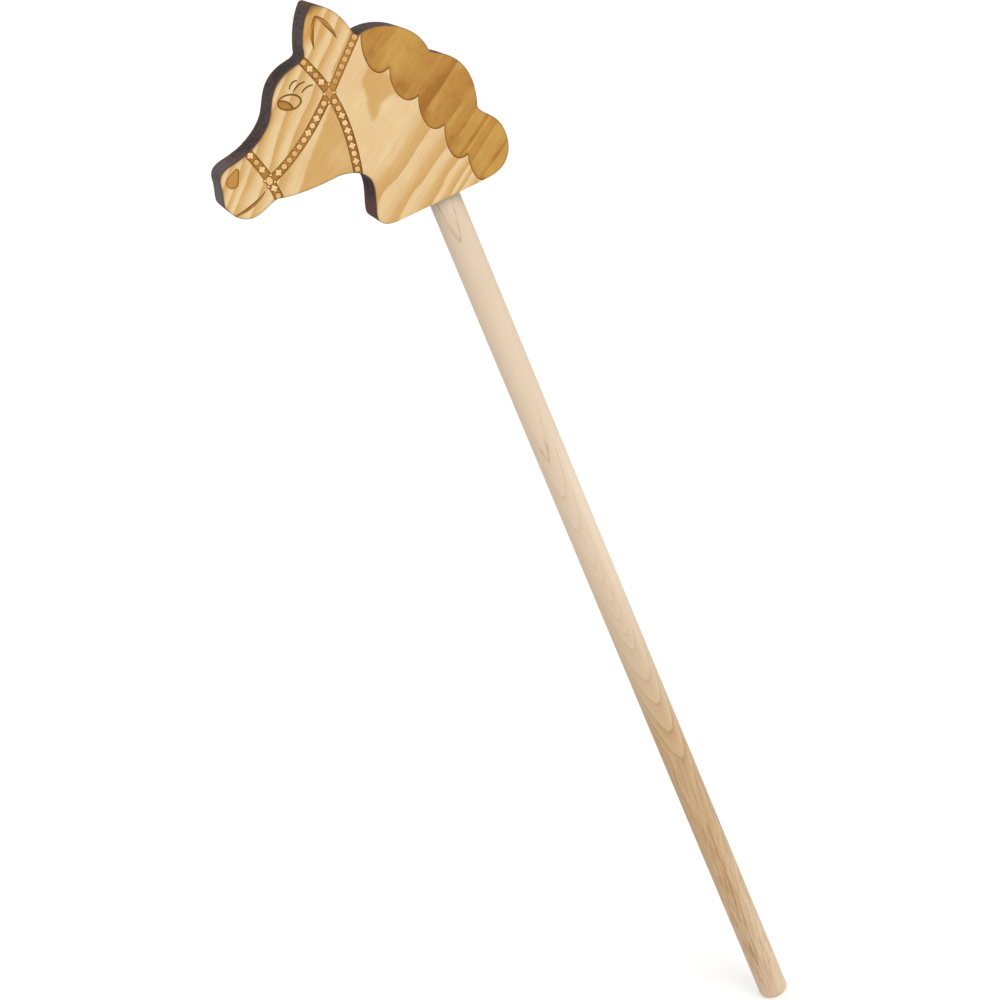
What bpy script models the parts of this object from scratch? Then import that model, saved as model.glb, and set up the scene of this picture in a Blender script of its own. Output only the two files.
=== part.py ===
"""Hobby horse: a flat pine head with its mane, bridle and face burnt in, glued on a round stick.

Lengths are in millimetres and become metres where a mesh is made. The origin is the middle of
the stick's foot, +Z runs up the stick, and the nose points to -X. A point of the head's drawing
is (x, z): x is measured from the stick's axis, and z from the head's lower edge.
"""
import math

import bmesh
import bpy
from mathutils import Matrix, Vector

MM = 0.001

# Stick
STICK_DIAMETER = 25.4
STICK_EXPOSED = 795.0
STICK_FOOT_ROUND = 4.0
STICK_TOP_CHAMFER = 1.5

# Glued joint between the stick and the head
SOCKET_DEPTH = 75.0
SOCKET_WALL = 6.05
GLUE_GAP = 0.3

# Head, along the neck and the jaw
NECK_FRONT = 57.6
NECK_CORNER = 9.0
THROAT_REACH = 50.4
THROAT_HEIGHT = 36.0
JAW_REACH = 73.0
JAW_HEIGHT = 50.8
JAW_FRONT_REACH = 121.7
JAW_FRONT_HEIGHT = 56.4

# Head, round the muzzle and up the nose
CHIN_REACH = 143.3
CHIN_HEIGHT = 51.2
LIP_REACH = 161.0
LIP_HEIGHT = 66.5
NOSE_REACH = 157.3
NOSE_TIP_HEIGHT = 82.0
NOSE_TOP_REACH = 142.4
NOSE_TOP_HEIGHT = 93.5
BRIDGE_REACH = 104.0
BRIDGE_HEIGHT = 112.0
BROW_REACH = 73.7
BROW_HEIGHT = 140.0

# Ear and poll, where the ear meets the mane
EAR_ROOT_REACH = 61.0
EAR_ROOT_HEIGHT = 145.0
EAR_TIP_REACH = 40.0
EAR_TIP_HEIGHT = 177.5
POLL_REACH = 17.5
POLL_HEIGHT = 143.0

# Mane: its two notches and its lowest lobe, behind the stick
UPPER_NOTCH_BACK = 29.0
UPPER_NOTCH_HEIGHT = 109.5
LOWER_NOTCH_BACK = 47.5
LOWER_NOTCH_HEIGHT = 54.0
MANE_BACK = 59.5
MANE_BACK_HEIGHT = 27.0
MANE_FOOT = 34.0

# Scallops along the mane's root, from the poll down to the lower edge
SCALLOP_TOP_REACH = 14.2
SCALLOP_FIRST_REACH = 4.6
SCALLOP_FIRST_HEIGHT = 109.5
SCALLOP_DROP = 28.6
SCALLOP_STEP_BACK = 13.4
SCALLOP_BOW = 0.95
SCALLOP_COUNT = 3

# Bridle
STRAP_WIDTH = 7.0
ROSETTE_DIAMETER = 10.0
CHEEK_REACH = 54.3
CHEEK_HEIGHT = 111.8
BIT_REACH = 122.0
BIT_HEIGHT = 70.7

# Face
EYE_REACH = 84.6
EYE_HEIGHT = 118.0
EYE_LENGTH = 19.2
EYE_OPENING = 12.5
EYE_TILT = math.radians(-12.8)
NOSTRIL_ROUND = 4.9
NOSTRIL_LENGTH = 11.0
PUPIL_FROM = 155.0
PUPIL_TO = 280.0
NOSTRIL_SLOPE = math.radians(44.0)
NOSTRIL_MOUTH = 65.0
LINE_WIDTH = 1.0
LASH_WIDTH = 0.8

# Depths of the burnt-in work
MANE_DEPTH = 0.8
STRAP_DEPTH = 0.6
ROSETTE_DEPTH = 0.7
FACE_DEPTH = 0.5
EYE_RIM_DEPTH = 0.6

# Fineness of the mesh
HALVES_OVERLAP = 10.0
STICK_SIDES = 64
CURVE_STEPS = 10
CIRCLE_STEPS = 32
ROUND_STEPS = 6
CUTTER_MARGIN = 10.0

BOARD_THICKNESS = STICK_DIAMETER + 2 * (SOCKET_WALL + GLUE_GAP)

THROAT = Vector((-THROAT_REACH, THROAT_HEIGHT))
JAW = Vector((-JAW_REACH, JAW_HEIGHT))
JAW_FRONT = Vector((-JAW_FRONT_REACH, JAW_FRONT_HEIGHT))
CHIN = Vector((-CHIN_REACH, CHIN_HEIGHT))
LIP = Vector((-LIP_REACH, LIP_HEIGHT))
NOSE_TIP = Vector((-NOSE_REACH, NOSE_TIP_HEIGHT))
NOSE_TOP = Vector((-NOSE_TOP_REACH, NOSE_TOP_HEIGHT))
BRIDGE = Vector((-BRIDGE_REACH, BRIDGE_HEIGHT))
BROW = Vector((-BROW_REACH, BROW_HEIGHT))
EAR_ROOT = Vector((-EAR_ROOT_REACH, EAR_ROOT_HEIGHT))
EAR_TIP = Vector((-EAR_TIP_REACH, EAR_TIP_HEIGHT))
POLL = Vector((-POLL_REACH, POLL_HEIGHT))
UPPER_NOTCH = Vector((UPPER_NOTCH_BACK, UPPER_NOTCH_HEIGHT))
LOWER_NOTCH = Vector((LOWER_NOTCH_BACK, LOWER_NOTCH_HEIGHT))
MANE_END = Vector((MANE_FOOT, 0.0))
CHEEK = Vector((-CHEEK_REACH, CHEEK_HEIGHT))
BIT = Vector((-BIT_REACH, BIT_HEIGHT))
EYE = Vector((-EYE_REACH, EYE_HEIGHT))


# Drawing tools: all of them work on (x, z) points

def by(point, x, z):
    """The point that lies x and z away from the given one."""
    return point + Vector((x, z))


def bezier(start, handle_1, handle_2, end, steps=CURVE_STEPS):
    """Points along a cubic curve, without its first one."""
    points = []
    for i in range(1, steps + 1):
        t = i / steps
        s = 1.0 - t
        points.append(start * s**3 + handle_1 * 3 * s * s * t + handle_2 * 3 * s * t * t + end * t**3)
    return points


def pen(start, curves):
    """One open line of several curves, each given as (handle, handle, end)."""
    points = [start]
    for handle_1, handle_2, end in curves:
        points += bezier(points[-1], handle_1, handle_2, end)
    return points


def ellipse_arc(centre, length, height, tilt, first, last, steps):
    """Points on an ellipse from one angle to another, both in degrees and both included."""
    points = []
    for i in range(steps + 1):
        angle = math.radians(first + (last - first) * i / steps)
        offset = Vector((length / 2 * math.cos(angle), height / 2 * math.sin(angle)))
        points.append(centre + Matrix.Rotation(tilt, 2) @ offset)
    return points


def circle(centre, diameter):
    return ellipse_arc(centre, diameter, diameter, 0.0, 0.0, 360.0, CIRCLE_STEPS)[:-1]


def band(line, widths):
    """The closed outline of a line that has a width at each of its points."""
    left = []
    right = []
    for i, point in enumerate(line):
        before = line[max(i - 1, 0)]
        after = line[min(i + 1, len(line) - 1)]
        along = (after - before).normalized()
        across = Vector((-along.y, along.x)) * widths[i] / 2
        left.append(point + across)
        right.append(point - across)
    return left + right[::-1]


def strap(line):
    return band(line, [STRAP_WIDTH] * len(line))


def stroke(line, width):
    """A burnt line that is full in its middle and fine at both ends."""
    last = len(line) - 1
    return band(line, [width * (0.25 + 0.75 * math.sin(math.pi * i / last)) for i in range(last + 1)])


# The head's outline

def front_outline():
    """From the lower edge up the neck, round the muzzle and over the ear to the poll.

    A curve's two handles are given by how far they lie from the points that it joins.
    """
    corner = Vector((-NECK_FRONT, NECK_CORNER))
    ear_front = by(EAR_TIP, -3.5, -2.0)
    ear_back = by(EAR_TIP, 3.0, -2.5)
    return pen(Vector((-NECK_FRONT + 1.6 * NECK_CORNER, 0.0)), [
        (by(corner, 0.55 * NECK_CORNER, 0.1 - NECK_CORNER), by(corner, 0.0, -0.6 * NECK_CORNER), corner),
        (by(corner, 1.1, 8.0), by(THROAT, 0.0, -9.0), THROAT),
        (by(THROAT, 0.0, 7.5), by(JAW, 13.0, -0.8), JAW),
        (by(JAW, -17.0, 0.8), by(JAW_FRONT, 13.7, -3.6), JAW_FRONT),
        (by(JAW_FRONT, -7.3, 0.0), by(CHIN, 9.3, 0.0), CHIN),
        (by(CHIN, -8.7, 0.0), by(LIP, 2.5, -8.0), LIP),
        (by(LIP, 0.5, 5.5), by(NOSE_TIP, -0.7, -6.0), NOSE_TIP),
        (by(NOSE_TIP, 0.7, 7.5), by(NOSE_TOP, -9.6, -1.0), NOSE_TOP),
        (by(NOSE_TOP, 13.4, 1.8), by(BRIDGE, -9.5, -11.0), BRIDGE),
        (by(BRIDGE, 7.0, 8.5), by(BROW, -20.8, -4.5), BROW),
        (by(BROW, 6.7, 1.3), by(EAR_ROOT, -1.5, -4.0), EAR_ROOT),
        (by(EAR_ROOT, 2.5, 8.0), by(ear_front, -9.5, -9.5), ear_front),
        (by(ear_front, 2.5, 2.8), by(ear_back, -1.5, 2.0), ear_back),
        (by(ear_back, 7.0, -6.5), by(POLL, -6.5, 17.5), by(POLL, -3.0, 5.5)),
        (by(POLL, -2.0, 2.5), by(POLL, -1.5, 0.5), POLL),
    ])


def mane_outline():
    """From the poll over the mane's three lobes to the lower edge."""
    back = Vector((MANE_BACK, MANE_BACK_HEIGHT))
    return pen(POLL, [
        (by(POLL, 17.5, 0.8), by(UPPER_NOTCH, -1.8, 22.5), UPPER_NOTCH),
        (by(UPPER_NOTCH, 15.0, -10.5), by(LOWER_NOTCH, 9.5, 29.0), LOWER_NOTCH),
        (by(LOWER_NOTCH, 0.5, -7.0), by(back, 0.0, 16.0), back),
        (by(back, 0.0, -15.0), by(MANE_END, 15.0, 0.0), MANE_END),
    ])


def scallops():
    """The mane's root: scallops that hang between the cusps of a slightly bowed row."""
    top = Vector((-SCALLOP_TOP_REACH, POLL_HEIGHT))
    first = Vector((-SCALLOP_FIRST_REACH, SCALLOP_FIRST_HEIGHT))
    cusps = [by(first, SCALLOP_STEP_BACK * i - SCALLOP_BOW * i * i, -SCALLOP_DROP * i)
             for i in range(SCALLOP_COUNT + 1)]
    points = pen(top, [(by(top, -7.0, -15.0), by(first, -12.0, -6.0), first)])
    for upper, lower in zip(cusps, cusps[1:]):
        points += bezier(upper, by(upper, -4.0, -14.0), by(lower, -11.5, -4.5), lower)
    foot = by(MANE_END, 0.0, 1.5)
    return points + bezier(cusps[-1], by(cusps[-1], -3.0, -11.0), by(foot, -8.0, -4.0), foot)


# The burnt-in work, as closed outlines

def mane_field():
    """Everything behind the scallops, carried past the head's edge."""
    root = scallops()
    outside = max(MANE_BACK, LOWER_NOTCH_BACK, UPPER_NOTCH_BACK) + CUTTER_MARGIN
    below = -CUTTER_MARGIN
    above = max(EAR_TIP_HEIGHT, POLL_HEIGHT) + CUTTER_MARGIN
    corners = [(root[-1].x, below), (outside, below), (outside, above), (root[0].x, above)]
    return root + [Vector(corner) for corner in corners]


def straps():
    """Crown, brow, cheek, throat and nose straps; those that reach the edge run past it."""
    throat_end = Vector((-NECK_FRONT - 0.9, JAW_HEIGHT - 2.3))
    nose_top = by(NOSE_TOP, 13.5, 4.0)
    nose_end = by(JAW_FRONT, 1.3, -8.0)
    return {
        "crown": [by(POLL, 7.0, 7.8), CHEEK],
        "brow": pen(by(EAR_ROOT, -5.5, 6.0), [(by(EAR_ROOT, 0.5, -7.5), by(CHEEK, -1.0, 9.0), CHEEK)]),
        "cheek": pen(CHEEK, [(by(CHEEK, -20.0, -16.0), by(BIT, 26.0, 8.5), BIT)]),
        "throat": pen(CHEEK, [
            (by(CHEEK, 5.0, -20.0), by(throat_end, 4.0, 17.0), throat_end),
            (by(throat_end, -0.7, -2.0), by(throat_end, -1.4, -4.0), by(throat_end, -2.1, -6.0)),
        ]),
        "nose": pen(by(nose_top, -2.6, 6.2), [
            (nose_top, by(BIT, -1.5, 9.0), BIT),
            (by(BIT, 0.8, -5.0), by(nose_end, -0.3, 6.0), nose_end),
        ]),
    }


def eye_arc(inset, first, last):
    """Part of the eye's oval, drawn in from its outer edge by the inset."""
    return ellipse_arc(EYE, EYE_LENGTH - 2 * inset, EYE_OPENING - 2 * inset, EYE_TILT, first, last,
                       CIRCLE_STEPS // 2)


def eye_pupil():
    """The part of the eye's opening that lies below an arch, towards the nose."""
    lower = eye_arc(LINE_WIDTH, PUPIL_FROM, PUPIL_TO)
    arch = bezier(lower[-1], by(lower[-1], 3.5, 4.0), by(lower[0], 6.5, 1.5), lower[0])
    return lower + arch[:-1]


def eye_rim_halves():
    """The ring round the eye, as two halves that overlap a little at their ends."""
    halves = []
    for first in (0.0, 180.0):
        last = first + 180.0 + HALVES_OVERLAP
        halves.append(eye_arc(0.0, first, last) + eye_arc(LINE_WIDTH, first, last)[::-1])
    return halves


def face_lines():
    """Lashes, mouth and the two lines inside the ear."""
    lines = {}
    lashes = [((3.8, 8.9), (12.0, 12.5)), ((8.3, 6.7), (16.7, 9.4)), ((12.3, 3.3), (21.9, 4.8))]
    for i, (root, tip) in enumerate(lashes):
        start = by(EYE, *root)
        end = by(EYE, *tip)
        line = pen(start, [(by(start, 2.0, 2.0), by(end, -3.5, 0.5), end)])
        lines["lash_%d" % i] = stroke(line, LASH_WIDTH)
    mouth_start = by(CHIN, -12.4, 7.4)
    mouth_end = by(CHIN, 12.3, 14.2)
    mouth = pen(mouth_start, [(by(mouth_start, 9.0, -2.0), by(mouth_end, -7.5, -6.0), mouth_end)])
    lines["mouth"] = stroke(mouth, 2 * LINE_WIDTH)
    apex = by(EAR_TIP, -0.6, -9.5)
    front_end = by(EAR_TIP, -11.7, -32.0)
    back_end = by(EAR_TIP, 7.3, -31.5)
    front = pen(apex, [(by(apex, -5.0, -5.0), by(front_end, 1.0, 8.0), front_end)])
    back = pen(apex, [(by(apex, 4.0, -4.5), by(back_end, -1.0, 9.0), back_end)])
    lines["ear_front"] = stroke(front, 1.5 * LINE_WIDTH)
    lines["ear_back"] = stroke(back, 2.5 * LINE_WIDTH)
    return lines


def nostril():
    """A drop: most of a circle, drawn out to a tip that points up and back."""
    centre = by(NOSE_TIP, 8.9, -0.3)
    tip = by(centre, NOSTRIL_LENGTH * math.cos(NOSTRIL_SLOPE), NOSTRIL_LENGTH * math.sin(NOSTRIL_SLOPE))
    round_end = ellipse_arc(centre, 2 * NOSTRIL_ROUND, 2 * NOSTRIL_ROUND, NOSTRIL_SLOPE, NOSTRIL_MOUTH,
                            360.0 - NOSTRIL_MOUTH, CIRCLE_STEPS // 2)
    return [tip] + round_end


# Solids

def new_object(name, mesh_data, material=None):
    mesh = bpy.data.meshes.new(name)
    bmesh.ops.recalc_face_normals(mesh_data, faces=mesh_data.faces)
    mesh_data.to_mesh(mesh)
    mesh_data.free()
    made = bpy.data.objects.new(name, mesh)
    bpy.context.scene.collection.objects.link(made)
    if material:
        mesh.materials.append(material)
    return made


def add_prism(mesh_data, outline, near, far):
    """Raise a closed outline into a solid that runs along Y from near to far."""
    corners = [mesh_data.verts.new((p.x * MM, near * MM, (p.y + STICK_EXPOSED) * MM)) for p in outline]
    face = mesh_data.faces.new(corners)
    raised = bmesh.ops.extrude_face_region(mesh_data, geom=[face])
    moved = [item for item in raised["geom"] if isinstance(item, bmesh.types.BMVert)]
    bmesh.ops.translate(mesh_data, verts=moved, vec=(0.0, (far - near) * MM, 0.0))


def turned(name, profile, material=None):
    """Turn a profile of (radius, height) points round the Z axis."""
    mesh_data = bmesh.new()
    line = [mesh_data.verts.new((radius * MM, 0.0, height * MM)) for radius, height in profile]
    edges = [mesh_data.edges.new(pair) for pair in zip(line, line[1:])]
    bmesh.ops.spin(mesh_data, geom=line + edges, cent=(0, 0, 0), axis=(0, 0, 1),
                   angle=2 * math.pi, steps=STICK_SIDES, use_merge=True)
    bmesh.ops.remove_doubles(mesh_data, verts=mesh_data.verts, dist=1e-7)
    return new_object(name, mesh_data, material)


def wood(name, colour, roughness):
    material = bpy.data.materials.new(name)
    material.use_nodes = True
    shader = material.node_tree.nodes["Principled BSDF"]
    shader.inputs["Base Color"].default_value = (*colour, 1.0)
    shader.inputs["Roughness"].default_value = roughness
    shader.inputs["Metallic"].default_value = 0.0
    return material


def make_cutter(made, collection):
    """Keep a solid only as a tool that others are cut with."""
    made.hide_render = True
    made.display_type = "WIRE"
    bpy.context.scene.collection.objects.unlink(made)
    collection.objects.link(made)


def engrave(name, outline, depth, collection):
    """A cutter for both faces of the board, the far face as a mirror image of the near one."""
    mesh_data = bmesh.new()
    face = BOARD_THICKNESS / 2
    for side in (-1, 1):
        add_prism(mesh_data, outline, side * (face - depth), side * (face + CUTTER_MARGIN))
    make_cutter(new_object(name, mesh_data), collection)


def cut_with(target, collection):
    cut = target.modifiers.new(collection.name, "BOOLEAN")
    cut.operation = "DIFFERENCE"
    cut.operand_type = "COLLECTION"
    cut.collection = collection
    cut.solver = "EXACT"


def new_collection(name):
    collection = bpy.data.collections.new(name)
    bpy.context.scene.collection.children.link(collection)
    return collection


def build_stick():
    radius = STICK_DIAMETER / 2
    rim = radius - STICK_FOOT_ROUND
    top = STICK_EXPOSED + SOCKET_DEPTH - GLUE_GAP
    profile = [(0.0, 0.0)]
    for i in range(ROUND_STEPS + 1):
        angle = math.pi / 2 * i / ROUND_STEPS
        profile.append((rim + STICK_FOOT_ROUND * math.sin(angle),
                        STICK_FOOT_ROUND * (1 - math.cos(angle))))
    profile += [(radius, top - STICK_TOP_CHAMFER), (radius - STICK_TOP_CHAMFER, top), (0.0, top)]
    stick = turned("stick", profile, wood("maple", (0.68, 0.50, 0.36), 0.55))
    stick.data.shade_smooth()
    stick.data.set_sharp_from_angle(angle=math.radians(40))
    return stick


def build_socket_cutter(collection):
    radius = STICK_DIAMETER / 2 + GLUE_GAP
    floor = STICK_EXPOSED + SOCKET_DEPTH
    mouth = STICK_EXPOSED - CUTTER_MARGIN
    make_cutter(turned("socket_cutter", [(0.0, mouth), (radius, mouth), (radius, floor), (0.0, floor)]),
                collection)


def build_head():
    mesh_data = bmesh.new()
    outline = front_outline() + mane_outline()[1:]
    add_prism(mesh_data, outline, -BOARD_THICKNESS / 2, BOARD_THICKNESS / 2)
    head = new_object("head_board", mesh_data, wood("pine", (0.80, 0.58, 0.33), 0.6))

    joint = new_collection("joint")
    build_socket_cutter(joint)
    cut_with(head, joint)

    work = new_collection("burnt_work")
    engrave("mane_cutter", mane_field(), MANE_DEPTH, work)
    for name, line in straps().items():
        engrave(name + "_strap_cutter", strap(line), STRAP_DEPTH, work)
    for name, centre in (("cheek", CHEEK), ("bit", BIT)):
        engrave(name + "_rosette_cutter", circle(centre, ROSETTE_DIAMETER), ROSETTE_DEPTH, work)
    engrave("pupil_cutter", eye_pupil(), FACE_DEPTH, work)
    engrave("nostril_cutter", nostril(), FACE_DEPTH, work)
    for name, outline in face_lines().items():
        engrave(name + "_cutter", outline, FACE_DEPTH, work)
    for i, outline in enumerate(eye_rim_halves()):
        engrave("eye_rim_cutter_%d" % i, outline, EYE_RIM_DEPTH, work)
    cut_with(head, work)
    return head


def build():
    for old in list(bpy.data.objects):
        bpy.data.objects.remove(old, do_unlink=True)
    build_stick()
    build_head()


build()
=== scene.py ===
"""Looks of the hobby horse: carved and burnt pine head, bridle studs, maple stick, floor and light.

Drawings are in millimetres. A point of the head's drawing is (x, z): x is measured from the stick's
axis, with the nose towards -X, and z from the head's lower edge. Places in the wood's figure are
(along, across): the drawing turned by GRAIN_SLOPE, so that the grain runs level.
"""

import math

import bmesh
import bpy
import numpy as np
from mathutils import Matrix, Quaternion, Vector, noise
from mathutils.geometry import delaunay_2d_cdt


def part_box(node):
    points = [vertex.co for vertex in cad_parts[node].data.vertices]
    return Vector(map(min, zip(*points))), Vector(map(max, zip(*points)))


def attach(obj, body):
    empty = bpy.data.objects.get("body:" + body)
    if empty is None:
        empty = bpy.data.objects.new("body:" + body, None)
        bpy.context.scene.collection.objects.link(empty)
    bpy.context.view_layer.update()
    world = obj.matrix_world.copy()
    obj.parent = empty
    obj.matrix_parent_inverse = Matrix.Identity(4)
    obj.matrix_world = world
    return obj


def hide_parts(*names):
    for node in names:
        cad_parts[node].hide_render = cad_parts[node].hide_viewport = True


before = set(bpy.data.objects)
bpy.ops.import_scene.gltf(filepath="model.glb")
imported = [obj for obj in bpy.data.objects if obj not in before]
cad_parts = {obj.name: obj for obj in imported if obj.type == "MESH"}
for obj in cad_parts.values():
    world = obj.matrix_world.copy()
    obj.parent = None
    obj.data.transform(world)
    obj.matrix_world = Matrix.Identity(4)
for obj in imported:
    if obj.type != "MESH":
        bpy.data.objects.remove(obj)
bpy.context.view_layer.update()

MM = 0.001
HEAD_LOW, HEAD_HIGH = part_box("head_board")
FACE = HEAD_HIGH.y / MM
HEAD_FOOT = HEAD_LOW.z / MM
STICK_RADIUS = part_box("stick")[1].x / MM
STICK_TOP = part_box("stick")[1].z / MM - HEAD_FOOT

# Head outline
NECK_FRONT = 57.6
NECK_CORNER = 9.0
THROAT = Vector((-50.4, 36.0))
JAW = Vector((-73.0, 51.4))
JAW_FRONT = Vector((-121.7, 55.5))
CHIN = Vector((-143.3, 50.5))
LIP = Vector((-161.0, 66.5))
NOSE_TIP = Vector((-157.3, 82.0))
NOSE_TOP = Vector((-142.4, 93.5))
BRIDGE = Vector((-104.0, 112.0))
BROW = Vector((-73.7, 140.0))
EAR_ROOT = Vector((-61.0, 145.0))
EAR_TIP = Vector((-40.0, 177.5))
POLL = Vector((-17.0, 141.8))
UPPER_NOTCH = Vector((29.3, 109.1))
LOBE_START = Vector((35.3, 103.8))
LOWER_NOTCH = Vector((47.7, 54.0))
MANE_BACK = Vector((60.8, 27.0))
MANE_END = Vector((34.0, 0.0))

# Mane's root
SCALLOP_TOP = Vector((-14.2, 143.0))
SCALLOP_FIRST = Vector((-4.6, 109.5))
SCALLOP_DROP = 28.6
SCALLOP_STEP_BACK = 13.4
SCALLOP_BOW = 1.05
SCALLOP_COUNT = 3
MANE_LINE_WIDTH = 0.8
FIELD_FOOT = -9.0
FIELD_TOP = 160.0
FIELD_BACK = 75.0

# Bridle
STRAP_WIDTHS = {"crown": 6.4, "brow": 7.3, "cheek": 7.1, "throat": 7.5, "nose": 7.2}
STRAP_LINE = 1.05
CROSSING = 3.4
CHEEK = Vector((-54.3, 111.8))
BIT = Vector((-122.0, 70.7))
STUD_SIZE = 4.1
LOBED_SIZE = 4.5
STUD_LOBE = 0.2
BOSS_PETAL = 0.06
STUD_HALO = 5.5
STUD_DOT = 0.5
STUD_HEIGHT = 0.55
STUD_CHAMFER = 0.15
HALO_HEIGHT = 0.06
PEARL_SIZE = 1.9
PEARL_HEIGHT = 0.6
PEARL_PIT = 2.9
PIT_HEIGHT = 0.1
SUNK = 0.2
HAIR = 0.02
TOP_SHARE = 0.87
STUD_CREASE = math.radians(50)

# Face
EYE = Vector((-84.6, 118.0))
EYE_LENGTH = 19.2
EYE_OPENING = 12.5
EYE_TILT = math.radians(-12.8)
EYE_RING_SHIFT = -0.35
PUPIL_FROM = 150.0
PUPIL_TO = 287.0
PUPIL_SHORT = 18.0
NOSTRIL_ROUND = 4.9
NOSTRIL_TIP = 1.9
NOSTRIL_LENGTH = 11.0
NOSTRIL_SLOPE = math.radians(44.0)
LINE_WIDTH = 1.25
LASH_WIDTH = 1.25
MOUTH_WIDTH = 2.5
EAR_FRONT_WIDTH = 2.5
EAR_BACK_WIDTH = 3.7
OUTLINE_OF_FILLS = 0.85
OUTLINE_OF_EAR = 0.65

# Depths below the board's face
MANE_DEPTH = 0.8
STRAP_DEPTH = 0.6
LINE_DEPTH = 0.6
FILL_DEPTH = 0.5
GROOVE = 0.15
EDGE_ROUND = 0.7
RIM_MARGIN = 0.25
SOCKET_GAP = 0.3

# Fineness of the mesh
CURVE_STEPS = 24
CIRCLE_STEPS = 48
ROUND_SIDES = 28
DOT_SIDES = 10
PIT_SIDES = 16
LATTICE = 2.4
LATTICE_CLEAR = 0.9
RIM_SHARES = (0.13, 0.5, 1.0)
EDGE_ROWS = (2.0, 5.5, 10.0, 14.5)
HEAD_CREASE = math.radians(34)
SHARPEST = 0.5
TINY = 1e-6
MERGED = 1e-4
CUT_TOLERANCE = 1e-7

# Waves of the sawn edge: how high, how close round the edge and through it, and the place they face
SAW_WAVE = 0.07
SAW_ROUND = 0.9
SAW_THROUGH = 0.12
HEAD_MIDDLE = Vector((-30.0, 80.0))

# Figure of the wood
GRAIN_SLOPE = math.radians(33.0)
FAR_FACE_SHIFT = 6.0
CORE_FADE = 24.0
CORE_LEAST = 0.1
CORE_MOST = 0.97
CROWN_FADE = 9.0
CHEEK_FADE = 2.2
CHEEK_RINGS = 0.88
OUTER_RING = 8.0
MANE_LOW = -25.0
MANE_HIGH = 130.0
RIM_REACH = 6.0
TOAST_REACH = 8.0
BROWNED_REACH = 5.0
FLAME_BLUR = 3.0
FAINT_BESIDE = 2.5
FAINT_EDGE = 3.0
CLEAN_FOOT = 3.0
CLEAN_HEIGHT = 2.0

# Round places on the drawing, each x, z, reach and strength
SCORCH_SPOTS = [(-41.5, 177.0, 5.5, 16.0), (-60.8, 147.2, 1.8, 14.0), (-120.0, 101.0, 16.0, 0.6),
                (-80.0, 140.0, 13.0, 1.3), (-103.0, 113.0, 10.0, 0.6)]
# Painted light and shade on the charred edge: the plus spots paint it lighter and greyer where light falls on
# the left-facing muzzle, nose and ear, the minus spots paint shade on the brow, the bridge and the throat
# under the muzzle.
PAINTED_LIGHT_AND_SHADE_SPOTS = [(-161.0, 72.0, 14.0, 0.7), (-60.0, 160.0, 13.0, 0.25), (-150.0, 95.0, 11.0, 0.4),
                (-120.0, 104.0, 14.0, -0.5), (-80.0, 143.0, 14.0, -0.7), (-52.0, 34.0, 10.0, -0.6)]
REDDENED_SPOTS = [(-57.0, 16.0, 8.0, 0.9), (-44.0, 178.0, 5.0, 0.6), (-146.0, 95.0, 8.0, 0.4)]
FAINT_PLACES = [(-147.3, 85.0, 17.0, 0.65), (-91.0, 115.0, 9.0, 0.1), (-42.0, 155.0, 26.0, 0.3),
                (-93.0, 84.0, 17.0, 0.95), (-53.0, 102.0, 8.0, 0.9)]
DEEP_SPOTS = [(-42, 158, 7, 0.9), (-90, 70, 9, 0.7), (-105, 68, 7, 0.3), (-25, 105, 8, 0.6),
              (-66, 65, 9, -0.9), (-150, 70, 7, -0.4), (-140, 56, 6, -0.35), (-53, 152, 7, -0.3),
              (45, 40, 9, -0.4), (40, 52, 8, -0.4)]


# Drawing tools: all of them work on (x, z) points

def by(point, x, z):
    """The point that lies x and z away from the given one."""
    return point + Vector((x, z))


def bezier(start, handle_1, handle_2, end, steps=CURVE_STEPS):
    """Points along a cubic curve, without its first one."""
    points = []
    for i in range(1, steps + 1):
        t = i / steps
        s = 1.0 - t
        points.append(start * s**3 + handle_1 * 3 * s * s * t + handle_2 * 3 * s * t * t + end * t**3)
    return points


def pen(start, curves):
    """One open line of several curves, each given as (handle, handle, end)."""
    points = [start]
    for handle_1, handle_2, end in curves:
        points += bezier(points[-1], handle_1, handle_2, end)
    return points


def ellipse_arc(centre, length, height, tilt, first, last, steps=CIRCLE_STEPS):
    """Points on an ellipse from one angle to another, both in degrees and both included."""
    points = []
    for i in range(steps + 1):
        angle = math.radians(first + (last - first) * i / steps)
        x = length / 2 * math.cos(angle)
        z = height / 2 * math.sin(angle)
        points.append(by(centre, x * math.cos(tilt) - z * math.sin(tilt),
                         x * math.sin(tilt) + z * math.cos(tilt)))
    return points


def ellipse(centre, length, height, tilt=0.0):
    return ellipse_arc(centre, length, height, tilt, 0.0, 360.0)[:-1]


def shifted(line, distance, closed=False):
    """A line moved to the left of its own direction, with its corners kept sharp."""
    count = len(line)
    moved = []
    for i, point in enumerate(line):
        before = line[i - 1] if closed or i else line[0]
        after = line[(i + 1) % count] if closed or i + 1 < count else line[-1]
        normals = [Vector((-step.y, step.x)).normalized() for step in (point - before, after - point)
                   if step.length > TINY]
        middle = sum(normals, Vector((0.0, 0.0))).normalized()
        moved.append(point + middle * distance / max(middle.dot(normals[0]), SHARPEST))
    return moved


def signed_area(outline):
    return sum(a.x * b.y - a.y * b.x for a, b in zip(outline, outline[1:] + outline[:1])) / 2


def inset(outline, distance):
    """A closed outline drawn in by a distance."""
    return shifted(outline, math.copysign(distance, signed_area(outline)), closed=True)


def band(line, widths):
    """The closed outline of a line that has a width at each of its points."""
    left = []
    right = []
    for i, point in enumerate(line):
        along = (line[min(i + 1, len(line) - 1)] - line[max(i - 1, 0)]).normalized()
        across = Vector((-along.y, along.x)) * widths[i] / 2
        left.append(point + across)
        right.append(point - across)
    return left + right[::-1]


def stroke(line, width, first, last):
    """A burnt line that is full in its middle, and has a share of that width at each end."""
    widths = []
    for i in range(len(line)):
        t = i / (len(line) - 1)
        end = first + (last - first) * t
        widths.append(width * (end + (1.0 - end) * math.sin(math.pi * t)))
    return band(line, widths)


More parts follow.
